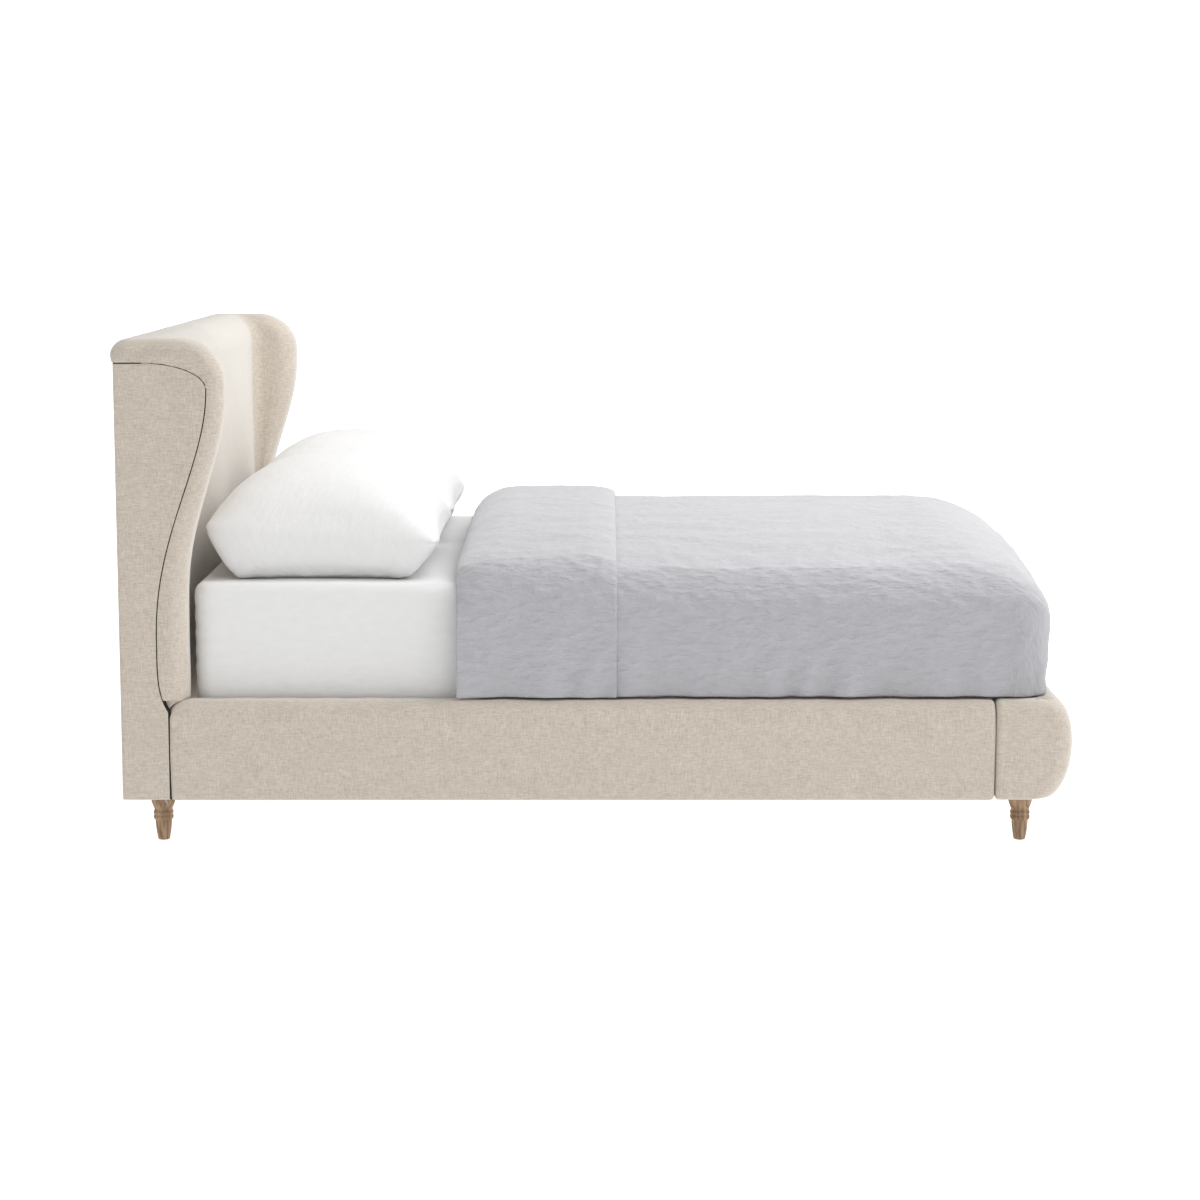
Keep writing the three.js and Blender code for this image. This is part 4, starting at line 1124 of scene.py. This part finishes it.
def fitted_sheet_cloth():
    """The fitted sheet, pulled over the mattress and tucked under all round."""
    levels = slab_levels(MATTRESS_LOW.z, MATTRESS_HIGH.z, 0.026, SHEET_TUCK, 0.0)
    grid = slab_grid(levels, SLAB_CORNER, False)
    normals = grid_normals(grid, wrap=True)
    x, y, z = grid[..., 0], grid[..., 1], grid[..., 2]
    on_side = smooth((z - MATTRESS_LOW.z - 0.02) / 0.05) * smooth((MATTRESS_HIGH.z - z - 0.01) / 0.04)
    on_top = z > MATTRESS_HIGH.z - 0.004
    relief = 0.0012 * soft_noise(grid, (0.16, 0.16, 0.22), 6) * on_side
    relief += 0.0009 * soft_noise(grid, (0.05, 0.05, 0.30), 7) * on_side
    relief += 0.0016 * soft_noise(grid, (0.22, 0.09, 0.2), 8) * on_top
    relief += 0.0012 * (creases(grid, (0.30, 0.10, 0.2), 9) - 0.4) * on_top
    from_middle = np.abs(y - (MATTRESS_LOW.y + MATTRESS_HIGH.y) / 2)
    corner = bump_at(np.abs(x), MATTRESS_HIGH.x, 0.07)
    corner = corner * bump_at(from_middle, (MATTRESS_HIGH.y - MATTRESS_LOW.y) / 2, 0.07)
    relief += 0.0012 * np.sin(z * 150 + 4 * x) * corner * on_side
    grid = grid + normals * relief[..., None]
    faces = grid_faces(*grid.shape[:2], wrap=True)
    piece = make_object("fitted_sheet_cloth", grid, faces, cloth_lengths(grid), white_cotton)
    weld(piece, 1e-4)
    thicken(piece, SHEET_THICKNESS)
    place_piece(piece, "mattress_and_sheet", "white_cotton", "fitted_sheet")


# ---- Pillows ----
PILLOW_SEAM = 0.103
PILLOW_LEAN = 0.017
PILLOW_POWER = 2.6
PILLOW_POINT = 0.76
PILLOW_FLAT_END = 0.46
PILLOW_FLAT_SIDE = 0.64


def pillow_grid(low, high, below):
    """The upper or lower skin of a pillow, crowned and drawn in between its corners."""
    across = np.sin(np.linspace(-math.pi / 2, math.pi / 2, 85))
    along = np.sin(np.linspace(-math.pi / 2, math.pi / 2, 73))
    u, v = np.meshgrid(across, along)
    blunt = 1 - 0.045 * (u * v) ** 8
    x = (low.x + high.x) / 2 + (high.x - low.x) / 2 * u * (1 - 0.035 * (1 - v ** 2)) * blunt
    y = (low.y + high.y) / 2 + (high.y - low.y) / 2 * v * (1 - 0.030 * (1 - u ** 2)) * blunt
    ends = np.clip(1 - np.abs(u) ** PILLOW_POWER, 0, 1) ** 0.5
    sides = np.clip(1 - np.abs(v) ** PILLOW_POWER, 0, 1) ** PILLOW_POINT
    seam = low.z + PILLOW_SEAM + PILLOW_LEAN * v
    if below:
        pressed = np.sin(np.clip(ends / PILLOW_FLAT_END, 0, 1) * math.pi / 2)
        pressed *= np.clip(sides / PILLOW_FLAT_SIDE, 0, 1) ** 1.4
        return np.stack([x, y, seam - (seam - low.z) * pressed], axis=2)
    return np.stack([x, y, seam + (high.z - seam) * ends * sides], axis=2)


def pillow_mesh(word, low, high):
    """Both skins, sewn along the rim they share."""
    upper = pillow_grid(low, high, False)
    lower = pillow_grid(low, high, True)
    rows, columns = upper.shape[:2]
    rim = np.zeros((rows, columns), bool)
    rim[0], rim[-1], rim[:, 0], rim[:, -1] = True, True, True, True
    rim = rim.ravel()
    ids = np.where(rim, np.arange(rows * columns), rows * columns + np.cumsum(~rim) - 1)
    faces = grid_faces(rows, columns)
    faces += [tuple(int(ids[i]) for i in face[::-1]) for face in grid_faces(rows, columns)]
    points = np.concatenate([upper.reshape(-1, 3), lower.reshape(-1, 3)[~rim]])
    cloth = np.concatenate([
        cloth_lengths(upper).reshape(-1, 3), cloth_lengths(lower).reshape(-1, 3)[~rim]])
    return make_object(f"pillow_{word}_soft", points, faces, cloth, white_cotton)


def mesh_points(mesh):
    places = np.zeros(len(mesh.vertices) * 3)
    mesh.vertices.foreach_get("co", places)
    return places.reshape(-1, 3)


def mesh_normals(mesh):
    normals = np.zeros(len(mesh.vertices) * 3)
    mesh.vertex_normals.foreach_get("vector", normals)
    return normals.reshape(-1, 3)


def blow_up(piece, pressure, frames, most):
    """Runs Blender's cloth on a closed piece and keeps the result, each point moved by no more than most."""
    scene = bpy.context.scene
    before = mesh_points(piece.data)
    modifier = piece.modifiers.new("cloth", "CLOTH")
    for setting, value in (
            ("quality", 6), ("mass", 0.3), ("tension_stiffness", 15), ("compression_stiffness", 15),
            ("shear_stiffness", 8), ("bending_stiffness", 0.5), ("air_damping", 5),
            ("use_pressure", True), ("uniform_pressure_force", pressure)):
        setattr(modifier.settings, setting, value)
    modifier.settings.effector_weights.gravity = 0
    modifier.collision_settings.use_collision = False
    scene.frame_start, scene.frame_end = 1, frames
    modifier.point_cache.frame_end = frames
    for step in range(1, frames + 1):
        scene.frame_set(step)
    graph = bpy.context.evaluated_depsgraph_get()
    after = mesh_points(piece.evaluated_get(graph).data)
    piece.modifiers.clear()
    moved = after - before
    length = np.linalg.norm(moved, axis=1, keepdims=True)
    moved = unit(moved) * np.minimum(length, most)
    piece.data.vertices.foreach_set("co", (before + moved).ravel())
    piece.data.update()
    scene.frame_set(1)


def pillow_relief(points, low, high, seed):
    """Puckers along the bottom, a crease in from each corner, and soft unevenness."""
    u = (points[:, 0] - (low.x + high.x) / 2) / (high.x - low.x) * 2
    v = (points[:, 1] - (low.y + high.y) / 2) / (high.y - low.y) * 2
    z = points[:, 2]
    seam = low.z + PILLOW_SEAM + PILLOW_LEAN * v
    end = smooth((np.abs(u) - 0.6) / 0.2)
    side = smooth((np.abs(v) - 0.6) / 0.2)
    foot = bump_at(z, low.z + 0.012, 0.034)
    along_end = creases(points, (0.6, 0.052, 0.16), seed + 2) - 0.4
    along_side = creases(points, (0.052, 0.6, 0.16), seed + 3) - 0.4
    relief = -0.0075 * foot * (along_end * end + along_side * side * (1 - end))
    corner = smooth((np.abs(u * v) - 0.72) / 0.22)
    relief -= 0.0035 * corner * bump_at(z, seam, 0.0045)
    relief += 0.0020 * corner * bump_at(z, seam + 0.016, 0.008)
    spread = 0.0035 * soft_noise(points, (0.22, 0.16, 0.2), seed)
    spread += 0.0012 * soft_noise(points, (0.07, 0.05, 0.06), seed + 1)
    return relief + spread * (1 - np.maximum(np.abs(u), np.abs(v)) ** 6) * smooth((z - low.z) / 0.04)


def pillow_soft(word, seed):
    """A pillow: both skins blown up, then creased."""
    low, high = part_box(f"pillow_{word}")
    piece = pillow_mesh(word, low, high)
    blow_up(piece, 2.0, 8, 0.004)
    mesh = piece.data
    points = mesh_points(mesh)
    points = points + mesh_normals(mesh) * pillow_relief(points, low, high, seed)[:, None]
    points[:, 2] = np.maximum(points[:, 2], low.z - 0.0005)
    mesh.vertices.foreach_set("co", points.ravel())
    mesh.update()
    subdivide = piece.modifiers.new("subdivide", "SUBSURF")
    subdivide.levels = 1
    subdivide.render_levels = 1
    place_piece(piece, f"pillow_{word}_body", "white_cotton", f"pillow_{word}")


# ---- Duvet ----
DUVET_LOW, DUVET_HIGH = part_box("duvet")
DUVET_HALF = 0.790
DUVET_HEAD = DUVET_HIGH.y
DUVET_FOOT = DUVET_LOW.y
DUVET_HEM = DUVET_LOW.z
FOLD_Y = -0.046
FOLD_RISE = 0.027
FOLD_RISE_SIDE = 0.008
FOLD_ROLL = 0.085
FOLD_EDGE = 0.42
DUVET_TOP = DUVET_HIGH.z - FOLD_RISE
DUVET_EDGE = 0.650
SHOULDER = 0.090
SHOULDER_DROP = 0.105
FOOT_DROP = 0.175
OUTER_CORNER = 0.105
TURN_START = -0.600
SLOPE_START = -0.820
DUVET_THICKNESS = 0.034
RIM = 0.14
SIDE_ROWS = 28
SHOULDER_ROWS = 62


def side_run(start, end, step):
    """Hem line, inner edge of the shoulder and middle line down one side; all are straight."""
    y = np.linspace(start, end, int(abs(start - end) / step) + 1)
    outer = np.column_stack([np.full(len(y), DUVET_HALF), y])
    inner = np.column_stack([np.full(len(y), DUVET_HALF - SHOULDER), y])
    return outer, inner, y, np.zeros(len(y))


def foot_run(steps):
    """Hem line, inner edge of the shoulder and middle line round the foot, to its middle."""
    corner_start = DUVET_FOOT + OUTER_CORNER
    lengths = [TURN_START - corner_start, OUTER_CORNER * math.pi / 2, DUVET_HALF - OUTER_CORNER]
    place = np.linspace(0, sum(lengths), steps + 1)[1:]
    turn = np.clip((place - lengths[0]) / OUTER_CORNER, 0, math.pi / 2)
    straight = np.minimum(place, lengths[0])
    across = np.maximum(place - lengths[0] - lengths[1], 0)
    outer = np.column_stack([
        DUVET_HALF - OUTER_CORNER * (1 - np.cos(turn)) - across,
        TURN_START - straight - OUTER_CORNER * np.sin(turn)])
    share = (place / sum(lengths)) ** 0.707 * math.pi / 2
    inner = np.column_stack([
        (DUVET_HALF - SHOULDER) * np.cos(share) ** 0.8,
        TURN_START + (SLOPE_START - TURN_START) * np.sin(share) ** 0.8])
    spine = TURN_START + (SLOPE_START - TURN_START) * place / sum(lengths)
    return outer, inner, spine, smooth(turn / (math.pi / 2))


def dome(x):
    """Height of the duvet's top across the bed."""
    return DUVET_TOP - (DUVET_TOP - DUVET_EDGE) * (np.abs(x) / (DUVET_HALF - SHOULDER)) ** 2


def round_head(grid):
    """Rounds the folded head end down, more in the middle of the bed than at its sides."""
    x, y, z = grid[..., 0], grid[..., 1], grid[..., 2]
    start = 0.215
    t = np.clip((y - start) / (DUVET_HEAD - start), 0, 1)
    middle = 1 - np.clip(np.abs(x) / (DUVET_HALF - SHOULDER), 0, 1) ** 2
    drop = (1 - np.sqrt(1 - 0.97 * t * t)) * (0.030 + 0.062 * middle)
    grid[..., 2] -= drop * smooth((z - DUVET_EDGE + 0.10) / 0.08)


def covering(outer, inner, spine, turned, hem):
    """Rows of points from the hem on the left, up and over the top, to the hem on the right."""
    drop = SHOULDER_DROP * (1 - turned) + FOOT_DROP * turned
    power = 2.0 + 0.2 * turned
    base = dome(inner[:, 0]) - drop
    fall = 2 * (DUVET_TOP - DUVET_EDGE) / (DUVET_HALF - SHOULDER) ** 2
    lean = fall * inner[:, 0] * np.clip(outer[:, 0] - inner[:, 0], 0, SHOULDER) * (1 - turned)
    rows = []
    for share in np.linspace(0.0, 1.0, SIDE_ROWS + 1)[:-1]:
        rows.append(np.column_stack([outer, hem + (base - hem) * share]))
    for angle in np.radians(np.linspace(0, 90, SHOULDER_ROWS - SIDE_ROWS)):
        out = np.cos(angle) ** (2 / power)
        place = outer * out[:, None] + inner * (1 - out)[:, None]
        z = base + (drop - lean) * np.sin(angle) ** (2 / power) + lean * (1 - out)
        rows.append(np.column_stack([place, z]))
    for share in np.linspace(0.0, 1.0, 44)[1:]:
        x = inner[:, 0] * (1 - share)
        y = inner[:, 1] * (1 - share) + spine * share
        rows.append(np.column_stack([x, y, dome(x)]))
    half = np.array(rows)
    grid = np.concatenate([half * np.array([-1.0, 1.0, 1.0]), half[-2::-1]])
    normals = grid_normals(grid)
    slope = fall * grid[..., 0]
    upwards = unit(np.stack([slope, np.zeros_like(slope), np.ones_like(slope)], axis=2))
    top = slice(SHOULDER_ROWS, len(grid) - SHOULDER_ROWS)
    normals[top] = upwards[top]
    return grid, normals


def draped_lengths(grid, normals):
    """The duvet's cloth laid out flat, along the bed then across: straight out where it hangs down."""
    below = np.maximum(DUVET_EDGE - grid[..., 2], 0)
    flat = (grid[..., :2] + unit(normals[..., :2]) * below[..., None])[..., ::-1]
    return np.concatenate([flat, np.zeros_like(below)[..., None]], axis=2)


def duvet_relief(grid):
    """Creases on top, crinkles at the shoulder and soft folds down the sides, in metres."""
    x, y, z = grid[..., 0], grid[..., 1], grid[..., 2]
    on_side = smooth((DUVET_EDGE - 0.07 - z) / 0.09)
    shoulder = bump_at(z, DUVET_EDGE - 0.03, 0.055)
    on_top = smooth((z - DUVET_EDGE + 0.04) / 0.05)
    warp = 0.05 * soft_noise(grid, 0.25, 11)[..., None]
    bent = grid + warp
    slanted = np.stack([x, y + 0.8 * z, z - 0.5 * y], axis=2) + warp
    relief = 0.0030 * soft_noise(bent, (0.13, 0.42, 0.3), 12) * on_top
    relief += 0.0062 * soft_noise(bent, (0.14, 0.14, 0.30), 17) * on_side
    for height, size, seed, cloth, where in (
            (0.0040, (0.10, 0.40, 0.3), 13, bent, on_top),
            (0.0026, (0.045, 0.18, 0.15), 14, bent, on_top),
            (0.0016, (0.022, 0.11, 0.09), 20, bent, on_top),
            (0.0050, (0.10, 0.14, 0.055), 15, slanted, shoulder),
            (0.0034, (0.06, 0.07, 0.030), 16, slanted, shoulder),
            (0.0022, (0.035, 0.045, 0.014), 19, slanted, shoulder),
            (0.0040, (0.16, 0.12, 0.20), 18, slanted, on_side),
            (0.0018, (0.05, 0.06, 0.05), 23, slanted, on_side)):
        relief += height * (creases(cloth, size, seed) - 0.45) * where
    low = smooth((DUVET_HEM + 0.17 - z) / 0.17)
    around = np.where(np.abs(x) > DUVET_HALF - 0.03, y, x)
    drape = np.sin(around * 47 + 2.2 * np.sin(around * 13)) * (0.6 + 0.4 * np.sin(around * 7.3))
    return relief + 0.0075 * drape * low


def lift_hem(grid, amount):
    """Lets the hem rise and fall a little along its length."""
    z = grid[..., 2]
    wave = np.abs(np.sin(grid[..., 1] * 9.0)) + 0.6 * np.abs(np.sin(grid[..., 1] * 31.0 + 1.0))
    near = smooth((DUVET_HEM + 0.10 - z) / 0.10)
    foot = smooth((-grid[..., 1] - 0.93) / 0.12)
    grid[..., 2] += near * amount * wave * (1 - foot)


def duvet_soft():
    """The duvet lying over the bed, under its turned-back part."""
    head = side_run(DUVET_HEAD - 0.045, TURN_START, 0.009)
    run = [np.concatenate(parts) for parts in zip(head, foot_run(112))]
    grid, normals = covering(*run, DUVET_HEM + RIM * DUVET_THICKNESS)
    grid, normals = grid[:, :-1], normals[:, :-1]
    cloth = draped_lengths(grid, normals)
    folded = smooth((grid[..., 1] - FOLD_Y - 0.02) / 0.03)
    relief = duvet_relief(grid) * (1 - folded) - 0.002 * folded
    grid = grid + normals * relief[..., None]
    round_head(grid)
    lift_hem(grid, 0.002)
    thickness = np.full(grid.shape[:2], DUVET_THICKNESS)
    piece = close_shell("duvet_soft", grid, cloth, normals, thickness, True)
    place_piece(piece, "duvet_body", "grey_cotton", "duvet")


def duvet_fold():
    """The part turned back from the head, lying on the rest of the duvet."""
    run = side_run(DUVET_HEAD, FOLD_Y + 0.5 * FOLD_RISE_SIDE, 0.0065)
    grid, normals = covering(*run, DUVET_HEM + 0.003)
    cloth = draped_lengths(grid, normals)
    high = smooth((grid[..., 2] - 0.56) / 0.10)
    near = np.clip((grid[..., 1] - FOLD_Y) / FOLD_ROLL, 0, 1)
    rolled = FOLD_EDGE + (1 - FOLD_EDGE) * np.sqrt(1 - (1 - near) ** 2)
    lift = FOLD_RISE_SIDE + (FOLD_RISE * rolled - FOLD_RISE_SIDE) * high
    relief = duvet_relief(grid) * (1 - 0.6 * np.exp(-(grid[..., 1] - FOLD_Y) / 0.02))
    grid = grid + normals * (lift + relief)[..., None]
    round_head(grid)
    lift_hem(grid, 0.0015)
    piece = close_shell("duvet_fold", grid, cloth, normals, lift + 0.004, False)
    place_piece(piece, "duvet_body", "grey_cotton", "duvet")


def close_shell(name, grid, cloth, normals, thickness, foot_closed):
    """Closes an open skin into a thick one with round edges; its columns run from head to foot."""
    rows, columns = grid.shape[:2]
    inner = grid - normals * thickness[..., None]
    points = np.concatenate([grid.reshape(-1, 3), inner.reshape(-1, 3)])
    lengths = np.concatenate([cloth.reshape(-1, 3), cloth.reshape(-1, 3)])
    faces = grid_faces(rows, columns)
    offset = rows * columns
    faces += [tuple(i + offset for i in face[::-1]) for face in grid_faces(rows, columns)]
    flat_normals, flat_thickness = normals.reshape(-1, 3), thickness.reshape(-1, 1)
    index = np.arange(rows * columns).reshape(rows, columns)
    edges = [(index[0], columns, 1), (index[-1], -columns, -1), (index[:, 0], 1, -1)]
    if foot_closed:
        middle = rows // 2
        for row in range(middle):
            a, b = index[row, -1], index[row + 1, -1]
            c, d = index[rows - 2 - row, -1], index[rows - 1 - row, -1]
            ring = [int(i) for i in dict.fromkeys((a, d, c, b))]
            if len(ring) > 2:
                faces.append(tuple(ring))
                faces.append(tuple(i + offset for i in ring[::-1]))
    else:
        edges.append((index[:, -1], -1, 1))
    skin = [points, lengths, faces]
    for edge, inward_step, order in edges:
        place = points[edge]
        outward = place - points[edge + inward_step]
        across = flat_normals[edge]
        outward = unit(outward - across * np.sum(outward * across, axis=1, keepdims=True))
        deep = flat_thickness[edge]
        previous = edge
        for angle in (25, 50, 75, 105, 130, 155):
            turn = math.radians(angle)
            ring = place - across * deep / 2 * (1 - math.cos(turn)) + outward * deep * RIM * math.sin(turn)
            previous = add_ring(skin, previous, ring, lengths[edge] + deep * angle / 120, order)
        skin[2] = skin[2] + edge_quads(previous, edge + offset, order)
    points, lengths, faces = skin
    return weld(make_object(name, points, faces, lengths, grey_cotton), 2e-4)


# ---- Parts that keep their CAD shape ----
def finish_node(name, material, edge):
    """Gives a CAD part its material and, where edge is above 0, slightly worn edges."""
    part = nodes[name]
    part.data.materials.clear()
    part.data.materials.append(material)
    if edge > 0:
        bevel = part.modifiers.new("worn_edges", "BEVEL")
        bevel.width = edge
        bevel.segments = 2
        bevel.limit_method = "ANGLE"
        bevel.angle_limit = math.radians(40)


# A word in a part's name, its material and how far its edges are worn; the first that fits counts.
FINISHES = (
    ("slat_ledger", pine_along, 0.0015),
    ("slat_", birch_across, 0.0025),
    ("bolt", zinc, 0.0006),
    ("bracket", zinc, 0.0006),
    ("plate", zinc, 0.0006),
    ("hanger", zinc, 0.0006),
    ("levelling_glide", nylon, 0.0005),
    ("centre_leg", pine_upright, 0.0015),
    ("headboard_stile", pine_upright, 0.0015),
    ("centre_rail", pine_along, 0.0015),
    ("rail_board", pine_along, 0.0015),
    ("headboard_top_rail", pine_across, 0.0015),
    ("headboard_bottom_rail", pine_across, 0.0015),
    ("footboard_frame", pine_across, 0.0015),
    ("headboard_plywood", birch_upright, 0.0008),
    ("wing_former", birch_upright, 0.0008),
    ("headboard_foam", foam, 0.0),
    ("footboard_padding", foam, 0.0))


def finish_hardware():
    for name in nodes:
        fitting = [(material, edge) for word, material, edge in FINISHES if word in name]
        if fitting:
            finish_node(name, *fitting[0])


# ---- Studio ----
HORIZON_LIGHT = 0.20
ZENITH_LIGHT = 0.94
FOOT_LIGHT = 0.78
KEY_POWER = 52.0
KEY_PLACE = Vector((-0.45, -1.5, 3.4))
FILL_POWER = 112.0
FILL_COLOUR = (0.93, 0.97, 1.0)
FILL_PLACE = Vector((-2.5, -0.6, 2.0))
FILL_AIM = Vector((0.76, 1.02, 1.04))
FILL_CONE = math.radians(17)
WHITE_BACKDROP = 1.05
CAMERA_PLACE = (-7.266, -0.0038, 1.4975)
CAMERA_PITCH = 8.054
CAMERA_LENS = 83.1


def add_to_scene(name, data, location, rotation=(0.0, 0.0, 0.0)):
    made = bpy.data.objects.new(name, data)
    made.location = location
    made.rotation_euler = rotation
    bpy.context.scene.collection.objects.link(made)
    return made


def studio():
    """The floor, the sky, a soft key light over the foot, a fill on the far wing, and the camera."""
    bpy.ops.mesh.primitive_plane_add(size=400, location=(0, 0, 0))
    floor = bpy.context.object
    floor.name = "studio_floor"
    floor.data.materials.append(floor_material())
    world = bpy.data.worlds.new("studio")
    world.use_nodes = True
    tree = world.node_tree
    background = tree.nodes["Background"]
    background.inputs["Color"].default_value = (1.0, 1.0, 1.0, 1.0)
    seen = node(tree, "ShaderNodeLightPath").outputs["Is Camera Ray"]
    direction = node(tree, "ShaderNodeTexCoord").outputs["Generated"]
    upper = mapped(tree, axis_of(tree, direction, "Z"), To_Min=HORIZON_LIGHT, To_Max=ZENITH_LIGHT)
    foot_side = mapped(tree, axis_of(tree, direction, "Y"), From_Min=0.0, From_Max=-1.0, To_Max=FOOT_LIGHT)
    light = maths(tree, "ADD", upper, foot_side)
    values = {0: seen, 2: light, 3: WHITE_BACKDROP}
    strength = node(tree, "ShaderNodeMix", values, data_type="FLOAT").outputs[0]
    tree.links.new(strength, background.inputs["Strength"])
    bpy.context.scene.world = world
    lamp = bpy.data.lights.new("soft_key", "AREA")
    lamp.shape = "RECTANGLE"
    lamp.size = 1.0
    lamp.size_y = 2.6
    lamp.energy = KEY_POWER
    add_to_scene("soft_key", lamp, KEY_PLACE)
    spot = bpy.data.lights.new("wing_fill", "SPOT")
    spot.energy = FILL_POWER
    spot.color = FILL_COLOUR
    spot.spot_size = FILL_CONE
    spot.spot_blend = 1.0
    spot.shadow_soft_size = 0.3
    add_to_scene("wing_fill", spot, FILL_PLACE, (FILL_AIM - FILL_PLACE).to_track_quat("-Z", "Y").to_euler())
    camera_data = bpy.data.cameras.new("camera")
    camera_data.lens = CAMERA_LENS
    camera_data.sensor_width = 36.0
    turned = (math.radians(90 - CAMERA_PITCH), 0.0, math.radians(-90))
    bpy.context.scene.camera = add_to_scene("camera", camera_data, CAMERA_PLACE, turned)
    bpy.context.scene.view_settings.view_transform = "Standard"


studio()
headboard_upholstery()
for sign, name in ((-1, "left"), (1, "right")):
    wing_panel(sign, name)
    rail_upholstery(sign, name)
back_lining()
footboard_upholstery()
for end in ("head", "foot"):
    for name in ("left", "right"):
        turned_foot(f"turned_foot_{end}_{name}")
mattress_soft()
fitted_sheet_cloth()
for seed, name in ((21, "left"), (22, "right")):
    pillow_soft(name, seed)
duvet_soft()
duvet_fold()
finish_hardware()
